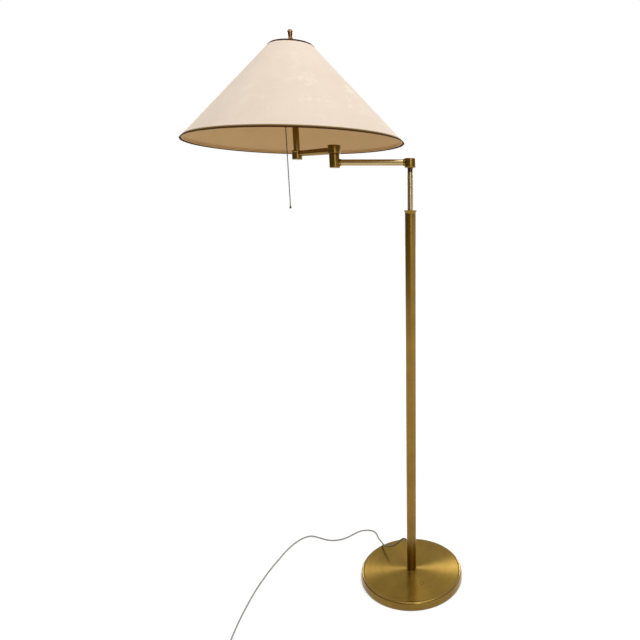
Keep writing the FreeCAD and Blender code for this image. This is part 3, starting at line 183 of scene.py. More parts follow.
tree.links.new(grey.outputs[0], shader.inputs["Base Color"])
rays = add(tree, "LightPath")
seen = add(
    tree, "Math", {"operation": "MAXIMUM"}, n0=rays.outputs["Is Camera Ray"],
    n1=rays.outputs["Is Glossy Ray"],
)
seen = add(
    tree, "Math", {"operation": "MAXIMUM"}, n0=seen.outputs[0], n1=rays.outputs["Is Transmission Ray"]
)
white = add(
    tree, "MapRange", {"interpolation_type": "SMOOTHSTEP"}, n0=away.outputs["Value"], n1=LIT_TO,
    n2=PLAIN_FROM, n3=FLOOR_GLOW, n4=1.0,
)
lift = add(tree, "Math", {"operation": "MULTIPLY"}, n0=seen.outputs[0], n1=white.outputs[0])
glow = add(tree, "Emission", Color=(1, 1, 1, 1), Strength=lift.outputs[0])
both = add(tree, "AddShader", n0=shader.outputs[0], n1=glow.outputs[0])
tree.links.new(both.outputs[0], tree.nodes["Material Output"].inputs["Surface"])
floor_mesh.materials.append(floor_white)

# %% Sky and lamps
sky = bpy.data.worlds.new("studio_sky")
bpy.context.scene.world = sky
sky.use_nodes = True
tree = sky.node_tree
backdrop = tree.nodes["Background"]
rays = add(tree, "LightPath")
seen = add(
    tree, "Math", {"operation": "MAXIMUM"}, n0=rays.outputs["Is Camera Ray"],
    n1=rays.outputs["Is Glossy Ray"],
)
seen = add(
    tree, "Math", {"operation": "MAXIMUM"}, n0=seen.outputs[0], n1=rays.outputs["Is Transmission Ray"]
)
level = add(tree, "MapRange", n0=seen.outputs[0], n1=0.0, n2=1.0, n3=0.58, n4=1.0)
backdrop.inputs["Color"].default_value = (1, 1, 1, 1)
tree.links.new(level.outputs[0], backdrop.inputs["Strength"])


def soft_box(name, place, target, width, height, power):
    """A rectangular lamp at a place, turned to face a target."""
    light = bpy.data.lights.new(name, "AREA")
    light.shape = "RECTANGLE"
    light.size, light.size_y = width, height
    light.energy = power
    holder = bpy.data.objects.new(name, light)
    holder.location = place
    holder.rotation_euler = (Vector(target) - Vector(place)).to_track_quat("-Z", "Y").to_euler()
    bpy.context.collection.objects.link(holder)
    return holder


def dark_card(name, middle, distance, start, end, low, high, tone):
    """A curved card round a middle, seen by reflections alone.

    A point is middle + distance (sin a, -cos a), for a from start to end in degrees, at heights low to high.
    """
    angle = np.radians(np.linspace(start, end, 33))
    rim = np.column_stack([middle[0] + distance * np.sin(angle), middle[1] - distance * np.cos(angle)])
    points = np.concatenate([np.column_stack([rim, np.full(len(rim), level)]) for level in (low, high)])
    first = np.arange(len(rim) - 1)
    faces = np.column_stack([first, first + 1, first + 1 + len(rim), first + len(rim)])
    mesh = bpy.data.meshes.new(name)
    mesh.from_pydata(points.tolist(), [], faces.tolist())
    card = bpy.data.objects.new(name, mesh)
    bpy.context.collection.objects.link(card)
    card.visible_camera = card.visible_diffuse = card.visible_shadow = card.visible_transmission = False
    dull, tree, shader = blank_material(name)
    for node in list(tree.nodes):
        if node.type != "OUTPUT_MATERIAL":
            tree.nodes.remove(node)
    even = add(tree, "Emission", Color=(1, 1, 1, 1), Strength=tone)
    tree.links.new(even.outputs[0], tree.nodes["Material Output"].inputs["Surface"])
    mesh.materials.append(dull)
    return card


soft_box("ceiling_box", (0.2, -0.5, 3.3), (-0.1, 0.0, 0.3), 2.6, 1.1, 31.0)
soft_box("front_box", (1.7, -2.4, 1.9), (-0.1, 0.0, 0.9), 1.6, 1.6, 7.0)
for mirrored in (
    soft_box("window_left", (-1.75, 3.0, 1.85), (0.0, 0.0, 0.1), 0.9, 0.9, 30.0),
    soft_box("window_right", (1.75, 3.0, 1.85), (0.0, 0.0, 0.1), 0.9, 0.9, 42.0),
    soft_box("doorway_strip", (0.48, -2.17, 2.3), (-0.1, 0.0, 2.3), 0.24, 2.6, 15.0),
):
    mirrored.visible_diffuse = False
CARD_MIDDLE, CARD_AWAY, CARD_TOP, CARD_TONE = (-0.08, 0.0), 2.4, 1.8, 0.20
dark_card("dark_left", CARD_MIDDLE, CARD_AWAY, -130, 3, 0.35, CARD_TOP, CARD_TONE)
dark_card("dark_right", CARD_MIDDLE, CARD_AWAY, 22, 100, 1.05, CARD_TOP, CARD_TONE)
print("stage ready")


# %% [markdown]
# ## Surfaces from arrays
#
# Most of a lamp is turned on a lathe. Such a surface is a function of two parameters: how far along the
# profile, and how far round. Working it out as whole arrays gives every point at once. A profile is
# drawn with sharp corners and then softened, because real edges always catch a thin line of light.

# %% Helpers for surfaces
def keep_mesh(name, points, faces, crease=35.0):
    """An object at the origin from point and face arrays, merged, closed and smooth up to a crease angle."""
    mesh = bpy.data.meshes.new(name)
    mesh.from_pydata(points.reshape(-1, 3).tolist(), [], faces.tolist())
    work = bmesh.new()
    work.from_mesh(mesh)
    bmesh.ops.remove_doubles(work, verts=work.verts, dist=1e-7)
    bmesh.ops.dissolve_degenerate(work, edges=work.edges, dist=1e-7)
    bmesh.ops.recalc_face_normals(work, faces=work.faces)
    work.to_mesh(mesh)
    work.free()
    mesh.shade_smooth()
    mesh.set_sharp_from_angle(angle=math.radians(crease))
    piece = bpy.data.objects.new(name, mesh)
    bpy.context.collection.objects.link(piece)
    return piece


def grid_faces(rows, columns, close_rows=False, close_columns=False):
    """The four-sided faces of a grid of points: each joins a point to the next along and the next across."""
    row = np.arange(rows if close_rows else rows - 1)[:, None]
    column = np.arange(columns if close_columns else columns - 1)[None, :]
    along, across = (row + 1) % rows, (column + 1) % columns
    here, there = row * columns, along * columns
    corners = [here + column, here + across, there + across, there + column]
    return np.stack(np.broadcast_arrays(*corners), axis=-1).reshape(-1, 4)


def soften(profile, radius=0.0006, steps=5, closed=True):
    """Rounds a profile's corners: each gives way to a curve that leaves one leg and joins the next.

    A point on the curve is (1-t)(1-t) start + 2t(1-t) corner + t t end, for t from 0 to 1, where start
    and end lie one radius from the corner, or 0.45 of the leg where that is shorter.
    """
    here = np.asarray(profile, float)
    before, after = np.roll(here, 1, axis=0), np.roll(here, -1, axis=0)
    if not closed:
        before[0], after[-1] = here[0], here[-1]
    legs = []
    for other in (before, after):
        length = np.linalg.norm(other - here, axis=1, keepdims=True)
        legs.append(here + (other - here) / np.maximum(length, 1e-9) * np.minimum(radius, 0.45 * length))
    t = np.linspace(0, 1, steps)[None, :, None]
    start, end = legs[0][:, None], legs[1][:, None]
    return ((1 - t) ** 2 * start + 2 * t * (1 - t) * here[:, None] + t ** 2 * end).reshape(-1, 2)


def spun(profile, centre, count=96):
    """Points and faces of a closed profile (radius, height) spun round the upright line through centre.

    A point is centre + (radius cos a, radius sin a, height), for a from 0 to a full turn.
    """
    profile = np.asarray(profile, float)
    angle = np.linspace(0, 2 * math.pi, count, endpoint=False)
    points = np.empty((len(profile), count, 3))
    points[..., 0] = centre[0] + profile[:, :1] * np.cos(angle)
    points[..., 1] = centre[1] + profile[:, :1] * np.sin(angle)
    points[..., 2] = profile[:, 1:]
    return points.reshape(-1, 3), grid_faces(len(profile), count, True, True)


def lathe(name, profile, centre, count=96, crease=40.0):
    """An object turned from a closed profile."""
    return keep_mesh(name, *spun(profile, centre, count), crease)


def face_values(piece, what):
    """The center or the normal of every face, as the rows of an array."""
    values = np.empty(len(piece.data.polygons) * 3)
    piece.data.polygons.foreach_get(what, values)
    return values.reshape(-1, 3)


def dress(piece, material, body, replaced):
    """Gives a new piece its finish, its body and the CAD nodes that it stands for."""
    piece.data.materials.clear()
    piece.data.materials.append(material)
    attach(piece, body)
    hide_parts(*replaced)
    faces = len(piece.data.polygons) if piece.type == "MESH" else 0
    print(piece.name, "faces:", faces)
    return piece


def middle(node):
    """The middle of a node's box."""
    low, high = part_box(node)
    return (np.array(low) + np.array(high)) / 2


# %% [markdown]
# ## The mains cord
#
# A thin grey twin flex leaves the pole's back, sinks over the base and wanders off to the left. It is
# one NURBS line with a round bevel: the control points are the given route, and the spline smooths
# them. The length that the photograph doesn't show lies in a small coil outside the picture: three turns
# inwards on the floor and three and a quarter outwards on top of them.

# %% Cord route
CORD_RADIUS = 0.002
route = np.array([
    (-12.45, 17.78, 99.5),
    (-16.4, 23.5, 99.5),
    (-21, 28.9, 97),
    (-26, 33.8, 91),
    (-32.2, 38.4, 80.5),
    (-40.5, 44.5, 68.5),
    (-51, 54.5, 56.2),
    (-64, 70.5, 44.2),
    (-75.5, 91.5, 32.6),
    (-81.5, 115.5, 27.3),
    (-87, 142.5, 16.5),
    (-91.5, 167.5, 6.2),
    (-95.5, 188.5, 2),
    (-101, 206.5, 2),
    (-114.5, 217, 2),
    (-133, 219.5, 2),
    (-152, 215, 2),
    (-170, 200, 2),
    (-192, 181, 2),
    (-219, 171, 2),
    (-247, 174, 2),
    (-274, 189, 2),
    (-301, 203, 2),
    (-327, 191, 2),
    (-349, 163, 2),
    (-367, 130, 2),
    (-381, 91, 2),
    (-396, 51, 2),
    (-408, 10, 2),
    (-420, -36, 2),
    (-428, -84, 2),
    (-435, -132, 2),
    (-439, -178, 2),
    (-441, -224, 2),
]) / 1000

COIL_MIDDLE = np.array([-0.411, -0.268])
COIL_PITCH, COIL_RADIUS = 0.0045, 0.030
TURNS_IN, TURNS_OUT = 3.0, 3.25
POINTS_A_TURN = 16
turns = np.arange(0, round((TURNS_IN + TURNS_OUT) * POINTS_A_TURN) + 1) / POINTS_A_TURN
away = turns - TURNS_IN
coil_radius = COIL_RADIUS - COIL_PITCH * TURNS_IN + COIL_PITCH * np.abs(away)
coil_radius = coil_radius / math.cos(math.pi / POINTS_A_TURN) ** 0.5
coil_angle = math.pi * (1 + 2 * turns)
coil = np.column_stack([
    COIL_MIDDLE[0] + coil_radius * np.cos(coil_angle),
    COIL_MIDDLE[1] + coil_radius * np.sin(coil_angle),
    CORD_RADIUS + COIL_PITCH * np.clip((away + 0.25) * 2, 0, 1),
])
cord_end = np.array([[COIL_MIDDLE[0] + 0.004, coil[-1, 1], coil[-1, 2]]])
cord_line = np.vstack([route, coil, cord_end])
runs = np.linalg.norm(np.diff(cord_line, axis=0), axis=1)
print("cord: %d control points, %.3f m along them" % (len(cord_line), runs.sum()))

# %% Cord
curve = bpy.data.curves.new("mains_cord", "CURVE")
curve.dimensions = "3D"
curve.bevel_depth = CORD_RADIUS
curve.bevel_resolution = 4
curve.resolution_u = 5
curve.use_fill_caps = True
spline = curve.splines.new("NURBS")
spline.points.add(len(cord_line) - 1)
spline.points.foreach_set("co", np.column_stack([cord_line, np.ones(len(cord_line))]).ravel())
spline.order_u = 3
spline.use_endpoint_u = True
spline.resolution_u = 5
mains_cord = bpy.data.objects.new("mains_cord", curve)
bpy.context.collection.objects.link(mains_cord)

DARK_TO, GREY_FROM = 0.13, 0.19
grey_flex, tree, shader = blank_material("grey_flex")
where = add(tree, "TexCoord")
mottle = add(tree, "TexNoise", Vector=where.outputs["Object"], Scale=60.0, Detail=3.0)
tone = add(
    tree, "Mix", {"data_type": "RGBA"}, n0=mottle.outputs[0], n6=paint(138, 135, 132),
    n7=paint(162, 159, 156),
)
# Painted shade: the grey flex is drawn dark brown where it lies over the base, fading out between DARK_TO
# and GREY_FROM from the pole.
far = add(tree, "VectorMath", {"operation": "LENGTH"}, n0=where.outputs["Object"])
shade_over_base = add(tree, "MapRange", n0=far.outputs["Value"], n1=DARK_TO, n2=GREY_FROM, n3=1.0, n4=0.0)
wear_and_shade = add(
    tree, "Mix", {"data_type": "RGBA"}, n0=shade_over_base.outputs[0], n6=tone.outputs[2], n7=paint(82, 66, 52)
)
tree.links.new(wear_and_shade.outputs[2], shader.inputs["Base Color"])
dust = add(tree, "TexNoise", Vector=where.outputs["Object"], Scale=900.0, Detail=2.0)
rough = add(tree, "MapRange", n0=dust.outputs[0], n3=0.42, n4=0.6)
tree.links.new(rough.outputs[0], shader.inputs["Roughness"])
skin = add(tree, "Bump", Strength=0.15, Distance=0.0002, Height=dust.outputs[0])
tree.links.new(skin.outputs[0], shader.inputs["Normal"])

dress(mains_cord, grey_flex, "stand", ["cord", "cord_coil"])

# %% [markdown]
# ## Patterns that the finishes share
#
# Three effects come back in the brass finishes, so each is a node group: a patina of soft clouds and small
# specks, straight brushing, and rings as a turning tool leaves them. A group only gives values; the
# shader that uses them stays in the material.

# %% Patina group
patina, given, taken = new_group(
    "patina",
    [("Vector", "Vector", None), ("Cloud Scale", "Float", 6.0), ("Speck Scale", "Float", 260.0)],
    [("Cloud", "Float"), ("Speck", "Float")],
)
cloud = add(
    patina, "TexNoise", Vector=given["Vector"], Scale=given["Cloud Scale"], Detail=5.0, Roughness=0.6
)
speck = add(patina, "TexVoronoi", Vector=given["Vector"], Scale=given["Speck Scale"], Randomness=1.0)
chosen = add(patina, "TexNoise", Vector=given["Vector"], Scale=given["Speck Scale"], Detail=0.0)
dot = add(patina, "MapRange", n0=speck.outputs["Distance"], n1=0.10, n2=0.18, n3=1.0, n4=0.0)
rare = add(patina, "MapRange", n0=chosen.outputs[0], n1=0.66, n2=0.70, n3=0.0, n4=1.0)
both = add(patina, "Math", {"operation": "MULTIPLY"}, n0=dot.outputs[0], n1=rare.outputs[0])
patina.links.new(cloud.outputs[0], taken["Cloud"])
patina.links.new(both.outputs[0], taken["Speck"])

# %% Brushing group
brushing, given, taken = new_group(
    "brushing",
    [("Vector", "Vector", None), ("Across", "Float", 2200.0), ("Along", "Float", 12.0)],
    [("Line", "Float")],
)
split = add(brushing, "SeparateXYZ", n0=given["Vector"])
across = add(brushing, "Math", {"operation": "MULTIPLY"}, n0=split.outputs[0], n1=given["Across"])
sideways = add(brushing, "Math", {"operation": "MULTIPLY"}, n0=split.outputs[1], n1=given["Across"])
along = add(brushing, "Math", {"operation": "MULTIPLY"}, n0=split.outputs[2], n1=given["Along"])
stretched = add(brushing, "CombineXYZ", n0=across.outputs[0], n1=sideways.outputs[0], n2=along.outputs[0])
line = add(brushing, "TexNoise", Vector=stretched.outputs[0], Scale=1.0, Detail=2.0)
brushing.links.new(line.outputs[0], taken["Line"])

# %% Turned rings group
rings, given, taken = new_group(
    "turned_rings",
    [("Vector", "Vector", None), ("Rings", "Float", 1600.0)],
    [("Ring", "Float"), ("Radius", "Float")],
)
split = add(rings, "SeparateXYZ", n0=given["Vector"])
flat = add(rings, "CombineXYZ", n0=split.outputs[0], n1=split.outputs[1], n2=0.0)
radius = add(rings, "VectorMath", {"operation": "LENGTH"}, n0=flat.outputs[0])
turn = add(rings, "Math", {"operation": "ARCTAN2"}, n0=split.outputs[1], n1=split.outputs[0])
step = add(rings, "Math", {"operation": "MULTIPLY"}, n0=radius.outputs["Value"], n1=given["Rings"])
swing = add(rings, "Math", {"operation": "MULTIPLY"}, n0=turn.outputs[0], n1=0.8)
polar = add(rings, "CombineXYZ", n0=step.outputs[0], n1=swing.outputs[0], n2=0.0)
ring = add(rings, "TexNoise", Vector=polar.outputs[0], Scale=1.0, Detail=3.0)
rings.links.new(ring.outputs[0], taken["Ring"])
rings.links.new(radius.outputs["Value"], taken["Radius"])
print("groups:", [group.name for group in bpy.data.node_groups])

# %% [markdown]
# ## Brass
#
# The lamp is antiqued brass: olive brown rather than yellow, satin, with soft clouds of tarnish, fine
# lines along each tube and a few dark specks. The colour is what the metal gives back of the white room,
# so it is written about as dark as the photograph shows it. The rod and the first arm get a paler copy of
# the brass as a painted highlight, the neck is nearly black, and the finial is redder.


# %% Brass finishes
LINE_CONTRAST = 0.22


def brass_finish(name, light, dark, roughness, line_strength=0.04):
    """Satin brass: two browns mixed by clouds of tarnish, with fine lines in colour, gloss and relief."""
    material, tree, shader = blank_material(name)
    where = add(tree, "TexCoord").outputs["Object"]
    age = use_group(tree, patina, Vector=where, Cloud_Scale=9.0, Speck_Scale=320.0)
    brushed = use_group(tree, brushing, Vector=where, Across=2600.0, Along=14.0)
    mixed = add(
        tree, "Math", {"operation": "MULTIPLY_ADD"}, n0=brushed.outputs["Line"], n1=LINE_CONTRAST,
        n2=-LINE_CONTRAST / 2,
    )
    tone = add(
        tree, "Math", {"operation": "ADD", "use_clamp": True}, n0=age.outputs["Cloud"], n1=mixed.outputs[0]
    )
    body = add(tree, "Mix", {"data_type": "RGBA"}, n0=tone.outputs[0], n6=dark, n7=light)
    speckled = add(
        tree, "Mix", {"data_type": "RGBA"}, n0=age.outputs["Speck"], n6=body.outputs[2], n7=paint(
            62, 44, 16
        )
    )
    tree.links.new(speckled.outputs[2], shader.inputs["Base Color"])
    shader.inputs["Metallic"].default_value = 1.0
    shader.inputs["Coat Weight"].default_value = 0.25
    shader.inputs["Coat Roughness"].default_value = 0.18
    gloss = add(
        tree, "MapRange", n0=tone.outputs[0], n1=0.2, n2=0.8, n3=roughness + 0.07, n4=roughness - 0.05
    )
    tree.links.new(gloss.outputs[0], shader.inputs["Roughness"])
    relief = add(tree, "Bump", Strength=line_strength, Distance=0.0001, Height=brushed.outputs["Line"])
    tree.links.new(relief.outputs[0], shader.inputs["Normal"])
    return material


aged_brass = brass_finish("aged_brass", paint(146, 115, 46), paint(100, 72, 15), 0.28)
# Painted highlight: a paler copy of the aged brass, for the brighter light that the rod and the first arm
# catch.
highlit_brass = brass_finish("highlit_brass", paint(190, 168, 122), paint(150, 126, 82), 0.28)
dark_brass = brass_finish("dark_brass", paint(86, 56, 32), paint(50, 30, 14), 0.40)
copper_brass = brass_finish("copper_brass", paint(156, 116, 80), paint(94, 64, 40), 0.22)
chain_brass = brass_finish("chain_brass", paint(88, 80, 70), paint(46, 40, 34), 0.34)
print(
    "brass finishes:", aged_brass.name, highlit_brass.name, dark_brass.name, copper_brass.name,
    chain_brass.name,
)

# %% [markdown]
# ## The brushed base
#
# The cover of the base was brushed while it spun, so its scratches run in circles. Such a surface
# spreads light across the scratches and keeps it narrow along them, and that is why the photograph shows
# two pale fans, left and right of the pole. The shader does this with its anisotropy and a tangent that
# runs round the pole. The cover is turned again here from its own profile with softer corners, and its
# rounded edge and wall, which were polished and not brushed, get a smoother brass. A faint ring mark, as
# a glass leaves it, lies in front of the pole.

# %% Base brass
RING_MARK, RING_MARK_RADIUS = (0.0231, -0.0640, 0.0220), 0.0055
base_brass, tree, shader = blank_material("base_brass")
where = add(tree, "TexCoord").outputs["Object"]
turned = use_group(tree, rings, Vector=where, Rings=1900.0)
coarse = use_group(tree, rings, Vector=where, Rings=260.0)
age = use_group(tree, patina, Vector=where, Cloud_Scale=14.0, Speck_Scale=210.0)
grain = add(tree, "Math", {"operation": "MULTIPLY_ADD"}, n0=turned.outputs["Ring"], n1=0.5, n2=-0.25)
wide = add(tree, "Math", {"operation": "MULTIPLY_ADD"}, n0=coarse.outputs["Ring"], n1=0.35, n2=-0.17)
tone = add(tree, "Math", {"operation": "ADD"}, n0=grain.outputs[0], n1=wide.outputs[0])
tone = add(
    tree, "Math", {"operation": "ADD", "use_clamp": True}, n0=tone.outputs[0], n1=age.outputs["Cloud"]
)
body = add(
    tree, "Mix", {"data_type": "RGBA"}, n0=tone.outputs[0], n6=paint(104, 80, 22), n7=paint(144, 115, 46)
)
speckled = add(
    tree, "Mix", {"data_type": "RGBA"}, n0=age.outputs["Speck"], n6=body.outputs[2], n7=paint(70, 50, 14)
)
off_mark = add(tree, "VectorMath", {"operation": "DISTANCE"}, n0=where, n1=RING_MARK)
off_ring = add(tree, "Math", {"operation": "SUBTRACT"}, n0=off_mark.outputs["Value"], n1=RING_MARK_RADIUS)
off_ring = add(tree, "Math", {"operation": "ABSOLUTE"}, n0=off_ring.outputs[0])
stain = add(tree, "MapRange", n0=off_ring.outputs[0], n1=0.0006, n2=0.0016, n3=0.6, n4=0.0)
marked = add(
    tree, "Mix", {"data_type": "RGBA"}, n0=stain.outputs[0], n6=speckled.outputs[2], n7=paint(84, 58, 16)
)
tree.links.new(marked.outputs[2], shader.inputs["Base Color"])
shader.inputs["Metallic"].default_value = 1.0
gloss = add(tree, "MapRange", n0=turned.outputs["Ring"], n1=0.3, n2=0.7, n3=0.28, n4=0.38)
tree.links.new(gloss.outputs[0], shader.inputs["Roughness"])
shader.inputs["Anisotropic"].default_value = 0.9
shader.inputs["Anisotropic Rotation"].default_value = 0.25
round_about = add(tree, "Tangent", {"direction_type": "RADIAL", "axis": "Z"})
tree.links.new(round_about.outputs[0], shader.inputs["Tangent"])
relief = add(tree, "Bump", Strength=0.12, Distance=0.0001, Height=turned.outputs["Ring"])
tree.links.new(relief.outputs[0], shader.inputs["Normal"])

# %% Base cover
def arc(middle_r, middle_z, radius, start, end, steps=14):
    """Points of a profile's arc: middle + radius (cos a, sin a), for a from start to end in degrees."""
    angle = np.radians(np.linspace(start, end, steps))
    return np.column_stack([middle_r + radius * np.cos(angle), middle_z + radius * np.sin(angle)])


inside = np.array([(0.1390, 0.0010), (0.1390, 0.0090), (0.1374, 0.0165)])
outside = np.vstack([
    arc(0.1329, 0.0165, 0.0055, 8, 90),
    np.linspace((0.1300, 0.0220), (0.0050, 0.0220), 40),
])
cover_profile = np.vstack([
    [(0.0050, 0.0210)],
    arc(0.1329, 0.0165, 0.0045, 90, 8),
    inside[::-1][1:],
    [(0.1398, 0.0010), (0.1400, 0.0014), (0.1400, 0.0086), (0.1396, 0.0100)],
    outside,
])
base_top = lathe("base_top", cover_profile, (0, 0), count=256)
dress(base_top, base_brass, "stand", ["base_cover"])
RIM_START = 0.1298
rim_brass = brass_finish("rim_brass", paint(136, 108, 44), paint(100, 74, 22), 0.20)
base_top.data.materials.append(rim_brass)
on_rim = np.linalg.norm(face_values(base_top, "center")[:, :2], axis=1) > RIM_START
base_top.data.polygons.foreach_set("material_index", on_rim.astype(np.int32))
print("rim faces:", int(on_rim.sum()))

# %% [markdown]
# ## The shade
#
# The shade is laminated paper: a warm white outside, a tan liner inside, one wall. It is worked out as a
# cone whose radius falls in a straight line from foot to top. The paper is glued with a narrow lap at
# the back, which shows as a faint upright step. The outside has fibres and a few pale scuffs, most of
# them round one worn place at the front.

# %% Paper finish
WORN_PLACE = (-0.161, -0.036, 1.22)


def paper_finish(name, pale, deep, fibre_contrast, scuffs):
    """Matt laminated paper: two tones mixed by clouds and fibres, with pale scuffs of a given strength."""
    material, tree, shader = blank_material(name)
    where = add(tree, "TexCoord").outputs["Object"]
    cloud = add(tree, "TexNoise", Vector=where, Scale=11.0, Detail=6.0, Roughness=0.62)
    upright = add(tree, "Mapping", {"vector_type": "POINT"}, Vector=where, Scale=(900.0, 900.0, 160.0))
    fibre = add(tree, "TexNoise", Vector=upright.outputs[0], Scale=1.0, Detail=2.0)
    level_way = add(tree, "Mapping", {"vector_type": "POINT"}, Vector=where, Scale=(220.0, 220.0, 1500.0))
    cross = add(tree, "TexNoise", Vector=level_way.outputs[0], Scale=1.0, Detail=2.0)
    weave = add(
        tree, "Math", {"operation": "MULTIPLY_ADD"}, n0=fibre.outputs[0], n1=fibre_contrast,
        n2=-fibre_contrast / 2,
    )
    weft = add(
        tree, "Math", {"operation": "MULTIPLY_ADD"}, n0=cross.outputs[0], n1=fibre_contrast,
        n2=-fibre_contrast / 2,
    )
    fibres = add(tree, "Math", {"operation": "ADD"}, n0=weave.outputs[0], n1=weft.outputs[0])
    tone = add(
        tree, "Math", {"operation": "ADD", "use_clamp": True}, n0=cloud.outputs[0], n1=fibres.outputs[0]
    )
    body = add(tree, "Mix", {"data_type": "RGBA"}, n0=tone.outputs[0], n6=deep, n7=pale)
    patch = add(tree, "TexNoise", Vector=where, Scale=26.0, Detail=5.0, Roughness=0.7)
    scuff = add(tree, "MapRange", n0=patch.outputs[0], n1=0.54, n2=0.66, n3=0.0, n4=scuffs)
    gap = add(tree, "VectorMath", {"operation": "DISTANCE"}, n0=where, n1=WORN_PLACE)
    wear_and_shade = add(tree, "MapRange", n0=gap.outputs["Value"], n1=0.02, n2=0.10, n3=1.0, n4=0.2)
    scuff = add(tree, "Math", {"operation": "MULTIPLY"}, n0=scuff.outputs[0], n1=wear_and_shade.outputs[0])
    scuffed = add(
        tree, "Mix", {"data_type": "RGBA"}, n0=scuff.outputs[0], n6=body.outputs[2], n7=paint(250, 238, 222)
    )
    tree.links.new(scuffed.outputs[2], shader.inputs["Base Color"])
    shader.inputs["Roughness"].default_value = 0.72
    shader.inputs["Specular IOR Level"].default_value = 0.25
    relief = add(tree, "Bump", Strength=0.25, Distance=0.0002, Height=tone.outputs[0])
    tree.links.new(relief.outputs[0], shader.inputs["Normal"])
    return material


shade_outside = paper_finish("shade_outside", paint(240, 224, 206), paint(226, 206, 187), 0.5, 0.9)
shade_inside = paper_finish("shade_inside", paint(234, 196, 140), paint(218, 178, 122), 0.4, 0.0)

# %% Shade
STEM = middle("stem")[:2]
SHADE_LOW, SHADE_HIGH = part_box("shade")
SHADE_FOOT, SHADE_TOP = SHADE_LOW[2], SHADE_HIGH[2]
FOOT_RADIUS, TOP_RADIUS, PAPER = 0.2531, 0.0485, 0.0010
LAP_WIDTH, LAP_STEP, LAP_ANGLE = 0.010, 0.0003, math.radians(78)


def cone_wall(rows, count, inset):
    """Points of the cone: radius falls in a line from foot to top, less inset, plus a lap's step.

    The step is a smooth bump, one lap wide along the arc, at the lap's angle.
    """
    share = np.linspace(0, 1, rows)[:, None]
    angle = np.linspace(0, 2 * math.pi, count, endpoint=False)[None, :]
    radius = FOOT_RADIUS + (TOP_RADIUS - FOOT_RADIUS) * share - inset
    off = np.abs((angle - LAP_ANGLE + math.pi) % (2 * math.pi) - math.pi) * radius
    radius = radius + LAP_STEP * np.clip((LAP_WIDTH / 2 + 0.0015 - off) / 0.0015, 0, 1)
    points = np.empty((rows, count, 3))
    points[..., 0] = STEM[0] + radius * np.cos(angle)
    points[..., 1] = STEM[1] + radius * np.sin(angle)
    points[..., 2] = SHADE_FOOT + (SHADE_TOP - SHADE_FOOT) * share
    return points


WALL_ROWS, WALL_COLUMNS = 40, 720
outer_wall = cone_wall(WALL_ROWS, WALL_COLUMNS, 0.0)
inner_wall = cone_wall(WALL_ROWS, WALL_COLUMNS, PAPER)[::-1]
shade_points = np.concatenate([outer_wall, inner_wall])
shade_faces = grid_faces(2 * WALL_ROWS, WALL_COLUMNS, True, True)
paper_shade = keep_mesh("paper_shade", shade_points, shade_faces, 30)
dress(paper_shade, shade_outside, "arm_2", ["shade"])
paper_shade.data.materials.append(shade_inside)
from_stem = face_values(paper_shade, "center")[:, :2] - STEM
outwards = (from_stem * face_values(paper_shade, "normal")[:, :2]).sum(axis=1)
paper_shade.data.polygons.foreach_set("material_index", (outwards < 0).astype(np.int32))
print("inside faces:", int((outwards < 0).sum()))

# %% [markdown]
# ## The shade's bindings
#
# Both edges of the paper are bound. From outside the foot shows a thin gold line over a very dark one,
# and from inside the tape is as tan as the liner. It could be painted on the paper, but a real binding
# stands half a millimetre proud, so it is a folded strip of its own, ribbed like woven tape. Its two
# colours are painted light on one tape: the gold above is painted light, the very dark part below and at
# the fold painted shade. They follow the height above the foot, which stays true when the arm swings.
# The wire that keeps the foot round lies just inside it, wrapped in the liner's paper.

# %% Binding finish
def binding_finish(name, foot, dark_share, height):
    """Woven tape with a fine rib: painted shade, very dark, up to a share of its height and painted light,
    dull gold, above.
    """
    material, tree, shader = blank_material(name)
    where = add(tree, "TexCoord").outputs["Object"]
    up = add(tree, "SeparateXYZ", n0=where)
    # The split paints the light: gold above the edge is painted light, very dark below it painted shade.
    edge = foot + height * dark_share
    above = add(tree, "MapRange", n0=up.outputs[2], n1=edge - 0.0002, n2=edge + 0.0002, n3=0.0, n4=1.0)
    thread = add(tree, "TexNoise", Vector=where, Scale=1500.0, Detail=3.0)
    brown = add(
        tree, "Mix", {"data_type": "RGBA"}, n0=thread.outputs[0], n6=paint(44, 24, 6), n7=paint(72, 44, 16)
    )
    gold = add(
        tree, "Mix", {"data_type": "RGBA"}, n0=thread.outputs[0], n6=paint(104, 82, 38),
        n7=paint(134, 108, 56),
    )
    both = add(
        tree, "Mix", {"data_type": "RGBA"}, n0=above.outputs[0], n6=brown.outputs[2], n7=gold.outputs[2]
    )
    tree.links.new(both.outputs[2], shader.inputs["Base Color"])
    shader.inputs["Roughness"].default_value = 0.9
    shader.inputs["Specular IOR Level"].default_value = 0.08
    relief = add(tree, "Bump", Strength=0.5, Distance=0.0003, Height=thread.outputs[0])
    tree.links.new(relief.outputs[0], shader.inputs["Normal"])
    return material


FOOT_LOW, FOOT_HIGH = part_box("shade_foot_trim")
TOP_LOW, TOP_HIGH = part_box("shade_top_trim")
foot_tape = binding_finish("foot_tape", FOOT_LOW[2], 0.50, FOOT_HIGH[2] - FOOT_LOW[2])
top_tape = binding_finish("top_tape", TOP_LOW[2], 2.0, TOP_HIGH[2] - TOP_LOW[2])


# %% Bindings
TAPE, RIBS, RIB_DEPTH, DARK_INSIDE = 0.00055, 360, 0.00008, 0.0022
SLOPE = (FOOT_RADIUS - TOP_RADIUS) / (SHADE_TOP - SHADE_FOOT)


